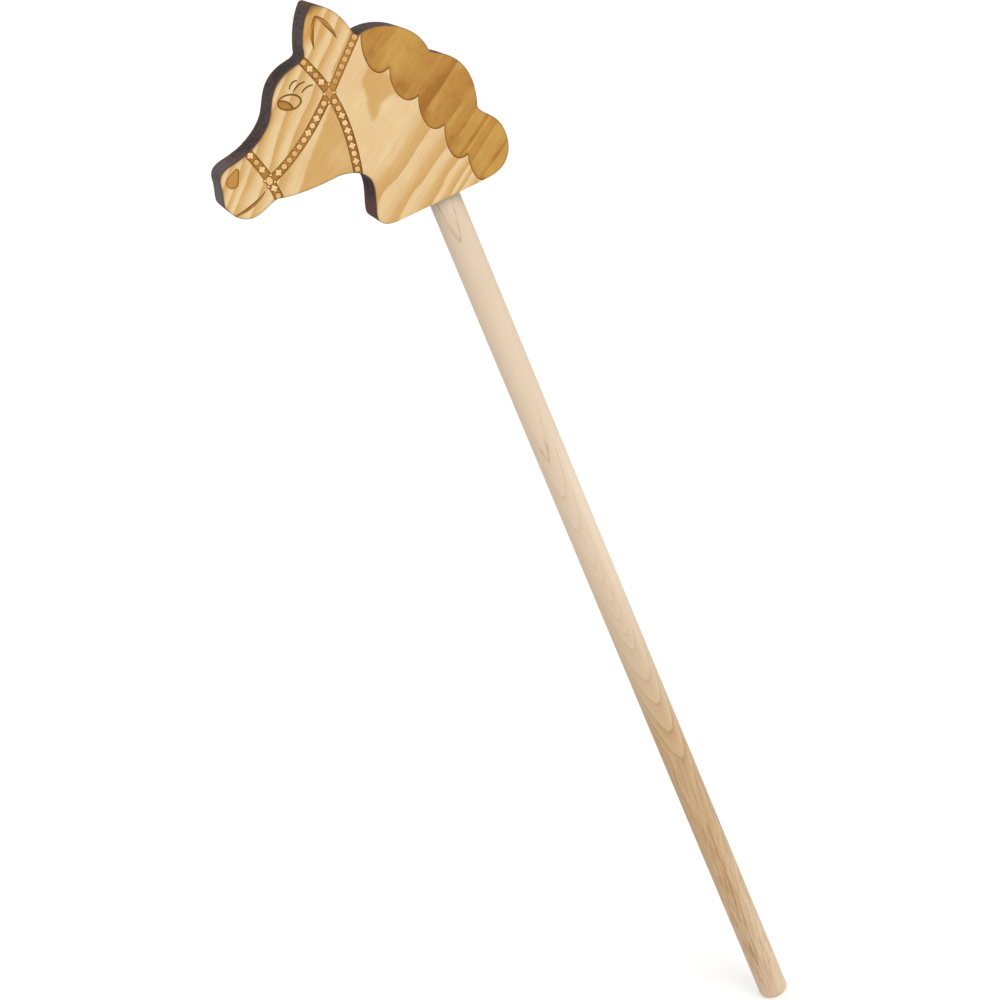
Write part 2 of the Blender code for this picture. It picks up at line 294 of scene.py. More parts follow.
def divided(line, step):
    """The same open line with points no further apart than the step."""
    points = [line[0]]
    for start, end in zip(line, line[1:]):
        pieces = max(1, math.ceil((end - start).length / step))
        points += [start.lerp(end, i / pieces) for i in range(1, pieces + 1)]
    return points


def walk(line, distances):
    """(point, direction) at each distance along a line."""
    lengths = [0.0]
    for start, end in zip(line, line[1:]):
        lengths.append(lengths[-1] + (end - start).length)
    places = []
    for distance in distances:
        i = max(0, min(len(line) - 2, int(np.searchsorted(lengths, distance)) - 1))
        along = line[i + 1] - line[i]
        share = (distance - lengths[i]) / (lengths[i + 1] - lengths[i])
        places.append((line[i] + along * share, along.normalized()))
    return places


# The drawing of the head

def head_outline():
    """From the lower edge up the neck, round the muzzle, over the ear and down the mane."""
    corner = Vector((-NECK_FRONT, NECK_CORNER))
    ear_front = by(EAR_TIP, -3.5, -2.0)
    ear_back = by(EAR_TIP, 3.0, -2.5)
    line = pen(Vector((-NECK_FRONT + 1.6 * NECK_CORNER, 0.0)), [
        (by(corner, 0.55 * NECK_CORNER, 0.1 - NECK_CORNER), by(corner, 0.0, -0.6 * NECK_CORNER), corner),
        (by(corner, 1.1, 8.0), by(THROAT, 0.0, -9.0), THROAT),
        (by(THROAT, 0.0, 7.5), by(JAW, 13.5, -0.9), JAW),
        (by(JAW, -17.0, -0.6), by(JAW_FRONT, 13.7, -3.8), JAW_FRONT),
        (by(JAW_FRONT, -7.3, 0.0), by(CHIN, 9.3, 0.0), CHIN),
        (by(CHIN, -9.4, -0.1), by(LIP, 2.0, -8.6), LIP),
        (by(LIP, 0.5, 5.5), by(NOSE_TIP, -0.7, -6.0), NOSE_TIP),
        (by(NOSE_TIP, 0.7, 7.5), by(NOSE_TOP, -9.6, -1.0), NOSE_TOP),
        (by(NOSE_TOP, 13.4, 1.8), by(BRIDGE, -9.5, -11.0), BRIDGE),
        (by(BRIDGE, 7.0, 8.5), by(BROW, -20.8, -4.5), BROW),
        (by(BROW, 6.7, 1.3), by(EAR_ROOT, -1.5, -4.0), EAR_ROOT),
        (by(EAR_ROOT, 2.5, 8.0), by(ear_front, -9.5, -9.5), ear_front),
        (by(ear_front, 2.5, 2.8), by(ear_back, -1.5, 2.0), ear_back),
        (by(ear_back, 8.0, -5.6), by(POLL, -5.8, 19.8), by(POLL, -3.5, 7.1)),
        (by(POLL, -2.5, 3.6), by(POLL, -1.7, 0.7), POLL),
        (by(POLL, 17.0, 4.2), by(UPPER_NOTCH, -1.4, 24.5), UPPER_NOTCH),
        (by(UPPER_NOTCH, 0.9, -2.4), by(LOBE_START, -2.6, 1.7), LOBE_START),
        (by(LOBE_START, 9.5, -5.4), by(LOWER_NOTCH, 11.2, 30.5), LOWER_NOTCH),
        (by(LOWER_NOTCH, 0.5, -7.0), by(MANE_BACK, 0.0, 16.0), MANE_BACK),
        (by(MANE_BACK, 0.0, -15.0), by(MANE_END, 18.0, 0.0), MANE_END),
    ])
    return line + divided([MANE_END, line[0]], LATTICE)[1:-1]


def scallop_cusps():
    return [by(SCALLOP_FIRST, SCALLOP_STEP_BACK * i - SCALLOP_BOW * i * i, -SCALLOP_DROP * i)
            for i in range(SCALLOP_COUNT + 1)]


def scallops():
    """The mane's root, from the poll down to the lower edge."""
    cusps = scallop_cusps()
    points = pen(SCALLOP_TOP, [(by(SCALLOP_TOP, -7.8, -15.0), by(cusps[0], -17.4, -6.0), cusps[0])])
    for upper, lower in zip(cusps, cusps[1:]):
        points += bezier(upper, by(upper, -6.7, -14.0), by(lower, -14.1, -4.5), lower)
    foot = by(MANE_END, -2.5, 0.9)
    return points + bezier(cusps[-1], by(cusps[-1], -3.4, -11.0), by(foot, -6.6, -2.5), foot)


def mane_field(root):
    """Everything behind the mane's root, carried past the head's edge."""
    return root + [Vector((root[-1].x, FIELD_FOOT)), Vector((FIELD_BACK, FIELD_FOOT)),
                   Vector((FIELD_BACK, FIELD_TOP)), Vector((root[0].x, FIELD_TOP))]


def carried_on(line, at_start, at_end):
    """A line made longer at its ends, straight on."""
    before = (line[0] - line[1]).normalized() * at_start
    after = (line[-1] - line[-2]).normalized() * at_end
    return [line[0] + before] * bool(at_start) + line + [line[-1] + after] * bool(at_end)


def strap_lines():
    """Crown, brow, cheek, throat and nose straps; those that reach the edge run past it."""
    throat_end = Vector((-NECK_FRONT, JAW.y - 3.0))
    nose_top = by(NOSE_TOP, 13.5, 4.0)
    nose_end = by(JAW_FRONT, 1.3, -7.1)
    return {
        "crown": [by(POLL, 6.9, 8.5), by(CHEEK, 0.5, -0.5)],
        "brow": pen(by(EAR_ROOT, -6.5, 5.5), [(by(EAR_ROOT, 0.0, -7.5), by(CHEEK, -1.1, 9.0), CHEEK)]),
        "cheek": pen(CHEEK, [(by(CHEEK, -19.6, -16.7), by(BIT, 26.4, 7.8), BIT)]),
        "throat": pen(CHEEK, [
            (by(CHEEK, 5.0, -20.0), by(throat_end, 4.0, 17.0), throat_end),
            (by(throat_end, -0.7, -2.0), by(throat_end, -1.4, -4.0), by(throat_end, -2.1, -6.0)),
        ]),
        "nose": pen(by(nose_top, -2.6, 6.2), [
            (by(nose_top, 0.5, 0.0), by(BIT, -0.9, 9.0), BIT),
            (by(BIT, 0.8, -5.0), by(nose_end, -0.3, 6.0), nose_end),
        ]),
    }


def pupil(thinner=0.0):
    """The part of the eye's opening below an arch, towards the nose; the thinner one has blunter corners."""
    lower = ellipse_arc(EYE, EYE_LENGTH - LINE_WIDTH - 2 * thinner, EYE_OPENING - LINE_WIDTH - 2 * thinner,
                        EYE_TILT, PUPIL_FROM + PUPIL_SHORT * thinner, PUPIL_TO - PUPIL_SHORT * thinner)
    arch = bezier(lower[-1], by(lower[-1], 0.5, 4.5), by(lower[0], 5.0, -0.5), lower[0])
    return lower + arch[:-1]


def lashes():
    made = []
    for root, lift, tip, first in [((3.7, 8.7), (2.0, 3.0), (11.8, 12.4), 0.75),
                                   ((5.6, 5.6), (2.6, 2.6), (16.8, 9.0), 0.4),
                                   ((11.4, 2.5), (2.8, 2.4), (21.6, 4.4), 0.7)]:
        start = by(EYE, *root)
        end = by(EYE, *tip)
        line = pen(start, [(by(start, *lift), by(end, -3.5, 1.0), end)])
        made.append(stroke(line, LASH_WIDTH, first, 0.75))
    return made


def mouth(thinner=0.0):
    """A crescent from the rim; the thinner one inside it lies lower, so the upper line is the stronger."""
    start = by(CHIN, -16.4 + thinner, 7.4)
    end = by(CHIN, 14.8 - 2 * thinner, 14.6 - thinner)
    line = pen(start, [(by(start, 8.0, -1.6), by(end, -8.5, -5.6), end)])
    lower = [by(point, 0.0, -0.25 * thinner) for point in line]
    return stroke(lower, MOUTH_WIDTH - thinner, 0.35, 0.2)


def ear_strokes(thinner=0.0):
    """The two strokes inside the ear, both broad at one point near its tip."""
    apex = by(EAR_TIP, -1.4, -9.8 - thinner)
    front_end = by(EAR_TIP, -11.7, -32.0 + 3 * thinner)
    back_end = by(EAR_TIP, 7.3, -31.5 + 3 * thinner)
    front = pen(apex, [(by(apex, -5.0, -5.0), by(front_end, 1.0, 8.0), front_end)])
    back = pen(apex, [(by(apex, 4.6, -4.5), by(back_end, -1.0, 9.0), back_end)])
    return [stroke(front, EAR_FRONT_WIDTH - thinner, 0.6, 0.1),
            stroke(back, EAR_BACK_WIDTH - thinner, 0.4, 0.05)]


def nostril():
    """A drop: most of a circle, drawn out to a small round tip that points up and back."""
    reach = NOSTRIL_LENGTH - NOSTRIL_TIP
    opening = math.degrees(math.acos((NOSTRIL_ROUND - NOSTRIL_TIP) / reach))
    centre = by(NOSE_TIP, 8.9, -0.3)
    tip = by(centre, reach * math.cos(NOSTRIL_SLOPE), reach * math.sin(NOSTRIL_SLOPE))
    small = ellipse_arc(tip, 2 * NOSTRIL_TIP, 2 * NOSTRIL_TIP, NOSTRIL_SLOPE, -opening, opening, 12)
    return small + ellipse_arc(centre, 2 * NOSTRIL_ROUND, 2 * NOSTRIL_ROUND, NOSTRIL_SLOPE, opening,
                               360.0 - opening)


# Plan of the board's face: each finish has its depth and its material slot

PINE, MANE, MANE_LINE, STRAP, STRAP_EDGE, LINE, FILL = range(7)
SLOTS = ("bare_pine", "burnt_mane", "mane_root", "burnt_strap", "burnt_line", "burnt_fill", "charred_edge")
FINISH = {
    PINE: (0.0, "bare_pine"),
    MANE: (MANE_DEPTH, "burnt_mane"),
    MANE_LINE: (MANE_DEPTH + GROOVE, "mane_root"),
    STRAP: (STRAP_DEPTH, "burnt_strap"),
    STRAP_EDGE: (STRAP_DEPTH + GROOVE, "burnt_line"),
    LINE: (LINE_DEPTH, "burnt_line"),
    FILL: (FILL_DEPTH, "burnt_fill"),
}


def face_shapes():
    """(finish, closed outline) in the order in which they are laid over one another."""
    root = scallops()
    shapes = [(MANE_LINE, mane_field(root)), (MANE, mane_field(shifted(root, MANE_LINE_WIDTH)))]
    reach = {"crown": (0.0, CROSSING), "brow": (0.0, CROSSING), "cheek": (CROSSING, CROSSING),
             "throat": (CROSSING, 0.0), "nose": (0.0, 0.0)}
    straps = [(carried_on(line, *reach[name]), STRAP_WIDTHS[name]) for name, line in strap_lines().items()]
    shapes += [(STRAP_EDGE, band(line, [width] * len(line))) for line, width in straps]
    shapes += [(LINE, ellipse(place, PEARL_PIT, PEARL_PIT)) for place in pearl_places()]
    shapes += [(STRAP, band(line, [width - 2 * STRAP_LINE] * len(line))) for line, width in straps]
    shapes += [(LINE, ellipse(EYE, EYE_LENGTH, EYE_OPENING, EYE_TILT)),
               (PINE, ellipse(by(EYE, EYE_RING_SHIFT, 0.0), EYE_LENGTH - 2 * LINE_WIDTH,
                              EYE_OPENING - 2 * LINE_WIDTH, EYE_TILT))]
    shapes += [(LINE, pupil()), (FILL, pupil(OUTLINE_OF_FILLS))]
    shapes += [(LINE, nostril()), (FILL, inset(nostril(), OUTLINE_OF_FILLS))]
    shapes += [(LINE, outline) for outline in lashes() + [mouth()] + ear_strokes()]
    shapes += [(FILL, outline) for outline in [mouth(1.0)] + ear_strokes(2 * OUTLINE_OF_EAR)]
    return shapes


def pearl_places():
    """Pearls at the corners of the two places where straps meet."""
    cheek = [(-51.8, 117.7), (-57.8, 112.4), (-50.3, 110.3), (-57.1, 105.3)]
    bit = [(-125.6, 72.2), (-119.6, 74.5), (-118.7, 68.4), (-124.8, 67.1)]
    return [Vector(place) for place in cheek + bit]


def as_array(points):
    return np.array([(p.x, p.y) for p in points])


def inside(points, outline):
    """Which points a closed outline holds, counted by the sides that a level ray crosses."""
    corners = as_array(outline)
    after = np.roll(corners, -1, axis=0)
    held = np.zeros(len(points), bool)
    for (x0, z0), (x1, z1) in zip(corners, after):
        crosses = (z0 > points[:, 1]) != (z1 > points[:, 1])
        if crosses.any():
            at = x0 + (points[crosses, 1] - z0) / (z1 - z0) * (x1 - x0)
            held[crosses] ^= points[crosses, 0] < at
    return held


def distance_to(points, line, closed=False):
    """Distance from each point to a line, in millimetres."""
    starts = as_array(line)
    ends = np.roll(starts, -1, axis=0)
    if not closed:
        starts = starts[:-1]
        ends = ends[:-1]
    nearest = np.full(len(points), np.inf)
    for start, end in zip(starts, ends):
        along = end - start
        share = np.clip((points - start) @ along / max(along @ along, 1e-12), 0.0, 1.0)
        gap = points - start - share[:, None] * along
        nearest = np.minimum(nearest, np.hypot(gap[:, 0], gap[:, 1]))
    return nearest


def lattice(outline, lines):
    """Points spread over the face, clear of every drawn line."""
    corners = as_array(outline)
    low = corners.min(axis=0)
    high = corners.max(axis=0)
    rows = np.arange(low[1], high[1], LATTICE * math.sqrt(3) / 2)
    spread = [(x + LATTICE / 2 * (i % 2), z) for i, z in enumerate(rows)
              for x in np.arange(low[0], high[0], LATTICE)]
    spread = np.array(spread)
    spread = spread[inside(spread, outline)]
    for line in lines:
        spread = spread[distance_to(spread, line, True) > LATTICE_CLEAR]
    return [Vector(point) for point in spread.tolist()]


def plan_face(outline):
    """Cuts the face into small triangles along every drawn line, and says each one's finish."""
    shapes = face_shapes()
    rims = [inset(outline, EDGE_ROUND * share) for share in RIM_SHARES]
    lines = [outline] + rims + [shape for _, shape in shapes]
    corners = []
    sides = []
    for line in lines:
        first = len(corners)
        corners += line
        sides += [(first + i, first + (i + 1) % len(line)) for i in range(len(line))]
    corners += lattice(outline, lines)
    points, _, triangles, _, _, _ = delaunay_2d_cdt(corners, sides, [], 0, MERGED)
    points = as_array(points)
    triangles = np.array(triangles)
    middles = points[triangles].mean(axis=1)
    kept = inside(middles, outline)
    triangles = triangles[kept]
    middles = middles[kept]
    finish = np.full(len(triangles), PINE)
    for kind, shape in shapes:
        finish[inside(middles, shape)] = kind
    return points, triangles, finish


# Figure of the wood, as smooth numbers that the materials read

def smooth_line(places):
    """A line through a few (along, across) places, rounded between them."""
    points = [Vector(place) for place in places]
    last = len(points) - 1
    tangents = [(points[min(i + 1, last)] - points[max(i - 1, 0)]) / 6 for i in range(last + 1)]
    curve = [points[0]]
    for i in range(last):
        start = points[i]
        end = points[i + 1]
        curve += bezier(start, start + tangents[i], end - tangents[i + 1], end, 8)
    return as_array(curve)


# Edges of the growth rings, outwards from the core: above it, below it, and down the burnt mane
RINGS_ABOVE = [
    [(-70, 101), (-45, 107.5), (-30, 111), (-10, 115), (8, 119), (20, 125), (30, 130), (45, 132), (62, 135)],
    [(-90, 112), (-60, 120), (-40, 125.5), (-20, 129.8), (0, 132.5), (15, 136), (27, 141), (45, 143),
     (66, 147.5)],
    [(-100, 122), (-75, 127.5), (-57, 131), (-40, 136.5), (-20, 142), (0, 147), (20, 150), (36, 152),
     (62, 158)],
    [(-100, 136), (-80, 139.5), (-60, 144), (-40, 149.5), (-20, 152.5), (0, 156), (15, 158.5), (60, 164)],
    [(-100, 142.5), (-85, 145.5), (-70, 149), (-50, 155), (0, 165), (60, 175)],
]
RINGS_BELOW = [
    [(-55, 37), (-40, 43), (-25, 46.5), (-10, 43.5), (0, 42.5), (20, 43), (35, 42.5)],
    [(-40, 24), (-15, 26), (0, 24.5), (20, 24), (33, 22.5)],
    [(-20, 9), (0, 9), (12, 10.5), (25, 10), (35, 9)],
    [(0, 0), (20, 0.5), (35, 0)],
    [(0, -5), (20, -5), (35, -4)],
]
RINGS_IN_MANE = [
    (66.0, [(40, 66), (60, 67), (88, 65)]),
    (52.5, [(42, 53), (60, 52.5), (85, 52)]),
    (31.5, [(42, 33), (60, 32), (80, 31)]),
    (19.0, [(45, 19.5), (60, 19), (72, 19)]),
    (8.0, [(33, 9), (50, 8.5), (70, 8)]),
    (-1.5, [(30, -0.5), (50, -1), (70, -1)]),
    (-15.5, [(28, -14.5), (60, -16)]),
]
# Brown bands of the mane, upwards: its ring's edge, brown there, the band's width, brown at its far side,
# and brown past it
MANE_BANDS = [
    (-15.5, 0.8, 3.5, 0.3, 0.15), (-1.5, 0.65, 6.3, 0.45, 0.13), (8.0, 0.75, 2.5, 0.5, 0.16),
    (19.0, 0.7, 8.0, 0.5, 0.13), (31.5, 0.7, 14.5, 0.5, 0.25), (52.5, 0.85, 12.5, 0.5, 0.3),
    (66.0, 0.5, 20.0, 0.25, 0.14), (106.0, 0.55, 20.0, 0.55, 0.55),
]
BAND_BLUR = 0.4
FLAME = [(52, 110), (43, 108.5), (36, 106.5), (30, 99), (22, 92), (17, 86), (16, 83), (22, 82), (30, 84.5),
         (37, 83), (42, 80), (42, 76), (50, 76)]
ROOT_BLOT = 0.9
ROOT_REACH = 2.5
# Darker places in the mane: x, z, reach in x and z, and how dark
MANE_BLOTS = [(-12, 126, 9, 13, 0.75), (-2, 93, 12, 10, 0.8), (7, 70, 7, 11, 0.75), (40, 84, 14, 7, 0.5),
              (15, 116, 4, 6, 0.45), (20, 41, 8, 9, 0.7), (30, 14, 5, 9, 0.35), (36, 69, 16, 9, 0.75),
              (15, 57, 9, 9, 0.75)]


def along_grain(points):
    along = points[:, 0] * math.cos(GRAIN_SLOPE) + points[:, 1] * math.sin(GRAIN_SLOPE)
    across = points[:, 1] * math.cos(GRAIN_SLOPE) - points[:, 0] * math.sin(GRAIN_SLOPE)
    return along, across


def heights(lines, along):
    return [np.interp(along, *smooth_line(line).T) for line in lines]


def count_rings(across, edges, outwards):
    """How many rings a point lies past the first edge, with the share of the ring that it is in."""
    count = np.zeros(len(across))
    for inner, outer in zip(edges, edges[1:]):
        count += np.clip((across - inner) / (outer - inner), 0.0, 1.0)
    return count + np.clip(outwards * (across - edges[-1]) / OUTER_RING, 0.0, None)


def pine_rings(points, shift):
    """Ring count over the bare face: whole numbers at the ring edges, and less than 1 in the core."""
    along, across = along_grain(points)
    across = across + shift
    above = heights(RINGS_ABOVE, along)
    below = heights(RINGS_BELOW, along)
    throat = as_array(strap_lines()["throat"])[::-1]
    in_cheek = points[:, 0] < np.interp(points[:, 1], throat[:, 1], throat[:, 0])
    neck = np.maximum(1.0 - (above[0] - across) / CROWN_FADE, 1.0 - (across - below[0]) / CORE_FADE)
    cheek = 1.0 + CHEEK_RINGS * np.clip((above[0] - across) / CHEEK_FADE, 0.0, 1.0)
    core = np.where(in_cheek, cheek, np.clip(neck, CORE_LEAST, CORE_MOST))
    rings = np.where(across > above[0], 1.0 + count_rings(across, above, 1.0), core)
    return np.where(across < below[0], 1.0 + count_rings(across, below, -1.0), rings)


def mane_level(points, shift):
    """Place across the mane's figure, straightened along its own rings, from 0 to 1."""
    along, across = along_grain(points)
    across = across + shift
    marks = [mark for mark, _ in RINGS_IN_MANE]
    edges = heights([line for _, line in RINGS_IN_MANE], along)
    level = marks[-1] + np.minimum(across - edges[-1], 0.0) + np.maximum(across - edges[0], 0.0)
    for i in range(len(marks) - 1):
        share = np.clip((across - edges[i + 1]) / (edges[i] - edges[i + 1]), 0.0, 1.0)
        level += share * (marks[i] - marks[i + 1])
    return (level - MANE_LOW) / (MANE_HIGH - MANE_LOW)


def mane_tones():
    """(level, brown) stops: each band is sharp at its ring's edge and fades away from it."""
    stops = []
    past = MANE_BANDS[0][-1]
    for edge, brown, width, far_brown, after in MANE_BANDS:
        stops += [(edge - BAND_BLUR, past), (edge + BAND_BLUR, brown), (edge + width, far_brown),
                  (edge + width + 2 * BAND_BLUR, after)]
        past = after
    return [((place - MANE_LOW) / (MANE_HIGH - MANE_LOW), brown) for place, brown in stops]


def flame(points):
    """1 inside the brown flame on the neck, 0 outside it, and soft over its edge."""
    places = np.column_stack(along_grain(points))
    outline = [Vector(place) for place in smooth_line(FLAME + FLAME[:1]).tolist()]
    depth = distance_to(places, outline, True) * np.where(inside(places, outline), 1.0, -1.0)
    return np.clip(0.5 + depth / FLAME_BLUR, 0.0, 1.0)


def blots(points):
    """How dark the mane is burnt along its root and in its darker places."""
    dark = ROOT_BLOT * np.exp(-distance_to(points, scallops()) / ROOT_REACH)
    for x, z, reach_x, reach_z, depth in MANE_BLOTS:
        far = np.hypot((points[:, 0] - x) / reach_x, (points[:, 1] - z) / reach_z)
        dark = np.maximum(dark, depth * np.exp(-far**2))
    return dark


def toast(points):
    """Golden scorch inside the front edge of the ear."""
    front = [Vector((-41.0, 173.5)), Vector((-52.0, 158.0))]
    return np.clip(1.0 - distance_to(points, front) / TOAST_REACH, 0.0, 1.0)


def spotted(points, spots):
    """Soft round spots added up."""
    total = np.zeros(len(points))
    for x, z, reach, value in spots:
        far = np.hypot(points[:, 0] - x, points[:, 1] - z)
        total += value * np.exp(-(far / reach) ** 2)
    return total


def near_rim(rim, points):
    """1 at the sawn rim, 0 far from it and at the foot; the scorch reaches further in at a few spots."""
    spread = 1.0 + spotted(points, SCORCH_SPOTS)
    clean = CLEAN_FOOT * np.clip(1.0 - points[:, 1] / CLEAN_HEIGHT, 0.0, 1.0)
    return np.clip(1.0 - (rim + clean) / spread / RIM_REACH, 0.0, 1.0)


def faint(points):
    """Where the drawing is burnt less: most along the crown strap and round the nostril."""
    lines = strap_lines()
    amount = np.zeros(len(points))
    for name, _, _, _, _, fading in STUD_ROWS:
        close = np.clip(2.0 - distance_to(points, lines[name]) / FAINT_BESIDE, 0.0, 1.0)
        amount = np.maximum(amount, fading * close)
    for x, z, radius, fading in FAINT_PLACES:
        far = np.hypot(points[:, 0] - x, points[:, 1] - z)
        amount = np.maximum(amount, fading * np.clip((radius - far) / FAINT_EDGE, 0.0, 1.0))
    return amount


# Head

def carve_head(slots):
    """The board with its outline, its rounded rim, the recesses on both faces and the socket."""
    outline = head_outline()
    points, triangles, finish = plan_face(outline)
    rim = distance_to(points, outline, True)
    inner = np.clip(EDGE_ROUND - rim, 0.0, EDGE_ROUND)
    fall = EDGE_ROUND - np.sqrt(EDGE_ROUND**2 - inner**2)
    depth = [FINISH[kind][0] for kind in finish]
    levels = {}
    sides = {}
    for triangle, level in zip(triangles.tolist(), depth):
        for i in range(3):
            levels.setdefault(triangle[i], set()).add(level)
            pair = tuple(sorted((triangle[i], triangle[i - 1])))
            sides.setdefault(pair, []).append(level)
    levels = {i: sorted(found) for i, found in levels.items()}

    # One of these attributes carries the painted light and shade of the charred edge.
    shared = {"blotch": flame(points), "blot": blots(points), "toast": toast(points),
              "near_rim": near_rim(rim, points), "faint": faint(points),
              "deep": spotted(points, DEEP_SPOTS), "painted_light_and_shade": spotted(points, PAINTED_LIGHT_AND_SHADE_SPOTS),
              "reddened": spotted(points, REDDENED_SPOTS)}
    mesh_data = bmesh.new()
    layers = {name: mesh_data.verts.layers.float.new(name) for name in ("ring", *shared)}

    def vertex(i, y, ring):
        made = mesh_data.verts.new((points[i][0] * MM, y * MM, (points[i][1] + HEAD_FOOT) * MM))
        for name, values in shared.items():
            made[layers[name]] = values[i]
        made[layers["ring"]] = ring
        return made

    def skin(corners, slot):
        face = mesh_data.faces.new(corners)
        face.material_index = SLOTS.index(slot)
        face.smooth = True

    chains = {}
    for side, shift in ((-1, 0.0), (1, FAR_FACE_SHIFT)):
        bare = pine_rings(points, shift)
        burnt = mane_level(points, shift)
        place = {}
        for i, found in levels.items():
            for level in found:
                ring = burnt[i] if level in (MANE_DEPTH, MANE_DEPTH + GROOVE) else bare[i]
                place[i, level] = vertex(i, side * (FACE - level - fall[i]), ring)
        for triangle, kind in zip(triangles.tolist(), finish):
            level, slot = FINISH[kind]
            skin([place[i, level] for i in triangle], slot)
        for (a, b), found in sides.items():
            if len(found) == 2 and found[0] != found[1]:
                low, high = sorted(found)
                down = [place[a, level] for level in levels[a] if low <= level <= high]
                up = [place[b, level] for level in levels[b] if low <= level <= high]
                skin(down + up[::-1], "burnt_line")
        chains[side] = place

    rows = [-(FACE - row) for row in EDGE_ROWS] + [0.0] + [FACE - row for row in EDGE_ROWS[::-1]]
    edge = [pair for pair, found in sides.items() if len(found) == 1]
    on_edge = sorted({i for pair in edge for i in pair})
    column = {}
    for i in on_edge:
        x, z = points[i]
        inwards = Vector((HEAD_MIDDLE.x - x, 0.0, HEAD_MIDDLE.y - z)).normalized()
        for k, y in enumerate(rows):
            made = vertex(i, y, 0.0)
            if z >= TINY:
                wave = noise.noise(Vector((x * SAW_ROUND, y * SAW_THROUGH, z * SAW_ROUND)))
                made.co += inwards * (wave * SAW_WAVE * MM)
            column[i, k] = made
    for a, b in edge:
        level = sides[a, b][0]
        for side, k in ((-1, 0), (1, len(rows) - 1)):
            place = chains[side]
            down = [place[a, found] for found in levels[a] if found >= level]
            up = [place[b, found] for found in levels[b] if found >= level]
            skin(down + [column[a, k], column[b, k]] + up[::-1], "charred_edge")
        if max(points[a][1], points[b][1]) < TINY:
            continue
        for k in range(len(rows) - 1):
            skin([column[a, k], column[a, k + 1], column[b, k + 1], column[b, k]], "charred_edge")
    bore_socket(mesh_data)
    bmesh.ops.recalc_face_normals(mesh_data, faces=mesh_data.faces)
    mesh = bpy.data.meshes.new("carved_head")
    mesh_data.to_mesh(mesh)
    mesh_data.free()
    for material in slots:
        mesh.materials.append(material)
    mesh.set_sharp_from_angle(angle=HEAD_CREASE)
    return new_object("carved_head", mesh)


def bore_socket(mesh_data):
    """Closes the board's lower edge round the blind bore that holds the stick."""
    mesh_data.edges.ensure_lookup_table()
    border = [side for side in mesh_data.edges if len(side.link_faces) == 1]
    radius = (STICK_RADIUS + SOCKET_GAP) * MM
    ring = []
    for i in range(CIRCLE_STEPS):
        angle = 2 * math.pi * i / CIRCLE_STEPS
        ring.append(mesh_data.verts.new((radius * math.cos(angle), radius * math.sin(angle), HEAD_FOOT * MM)))
    mouth_sides = [mesh_data.edges.new((ring[i - 1], ring[i])) for i in range(CIRCLE_STEPS)]
    filled = bmesh.ops.triangle_fill(mesh_data, edges=border + mouth_sides, use_beauty=True)
    for face in [item for item in filled["geom"] if isinstance(item, bmesh.types.BMFace)]:
        face.material_index = SLOTS.index("charred_edge")
    top = (HEAD_FOOT + STICK_TOP + SOCKET_GAP) * MM
    upper = [mesh_data.verts.new((corner.co.x, corner.co.y, top)) for corner in ring]
    for i in range(CIRCLE_STEPS):
        wall = mesh_data.faces.new([ring[i - 1], ring[i], upper[i], upper[i - 1]])
        wall.smooth = True
    mesh_data.faces.new(upper)


def new_object(name, data):
    """An object in the scene that shows the data."""
    made = bpy.data.objects.new(name, data)
    bpy.context.scene.collection.objects.link(made)
    return made


# Studs and pearls of the bridle

# Strap, kinds of stud, distance of the first, pitch, how orange its round studs are, how faint the strap is
STUD_ROWS = [
    ("crown", "rrrrrrr", 13.3, 5.93, 0.7, 1.0),
    ("brow", "rlrl", 11.2, 6.6, 0.7, 0.3),
    ("cheek", "rrlrlrrrrrl", 8.8, 6.2, 0.2, 0.25),
    ("throat", "rrlrlrlrlr", 7.6, 6.05, 0.05, 0.0),
    ("nose", "lrl", 10.2, 6.9, 0.7, 0.3),
    ("nose", "lr", 41.0, 6.4, 0.7, 0.3),
]
# Round places where the round studs are burnt deeper, from orange at 1 to brown: x, z, reach, how much
DEEPER_STUDS = [(-50.0, 114.0, 12.0, 0.8), (-98.0, 84.0, 12.0, 0.5), (-58.0, 50.0, 4.0, 0.6)]
DEEPEST = 1.5
KINDS = "rlb"
# Lozenge where the straps cross on the cheek, and boss at the bit: place, direction, kind, tint, stretch
ORNAMENTS = [
    (Vector((-54.1, 111.6)), Vector((2.8, 8.2)), "l", DEEPEST, (1.6, 1.2, 1.0)),
    (Vector((-122.3, 70.8)), Vector((0.1, 1.0)), "b", 0.35, (1.48, 1.15, 1.0)),
]


def stud_places():
    """(place, direction, kind, tint, faintness, stretch) of every stud and of both ornaments."""
    lines = strap_lines()
    places = []
    for name, kinds, first, pitch, orange, fading in STUD_ROWS:
        distances = [first + pitch * i for i in range(len(kinds))]
        for (point, along), kind in zip(walk(lines[name], distances), kinds):
            deeper = float(spotted(as_array([point]), DEEPER_STUDS)[0])
            tint = min(orange + deeper, DEEPEST) if kind == "r" else 0.0
            places.append((point, along, KINDS.index(kind), tint, fading, (1.0, 1.0, 1.0)))
    for point, along, kind, tint, stretch in ORNAMENTS:
        places.append((point, along, KINDS.index(kind), tint, 0.5, stretch))
    return places


def node(tree, kind, inputs=None, **settings):
    """A new node with its settings, its values and its links from other nodes' sockets."""
    made = tree.nodes.new(kind)
    for name, value in settings.items():
        setattr(made, name, value)
    for socket, value in (inputs or {}).items():
        if isinstance(value, bpy.types.NodeSocket):
            tree.links.new(value, made.inputs[socket])
        else:
            made.inputs[socket].default_value = value
    return made


def calc(tree, operation, a, b=None, c=None, clamp=False):
    values = {i: value for i, value in enumerate((a, b, c)) if value is not None}
    return node(tree, "ShaderNodeMath", values, operation=operation, use_clamp=clamp).outputs[0]


def named(tree, name, kind="FLOAT"):
    return node(tree, "GeometryNodeInputNamedAttribute", {"Name": name}, data_type=kind).outputs["Attribute"]


def joined(tree, parts):
    made = node(tree, "GeometryNodeJoinGeometry")
    for part in parts:
        tree.links.new(part, made.inputs[0])
    return made.outputs[0]


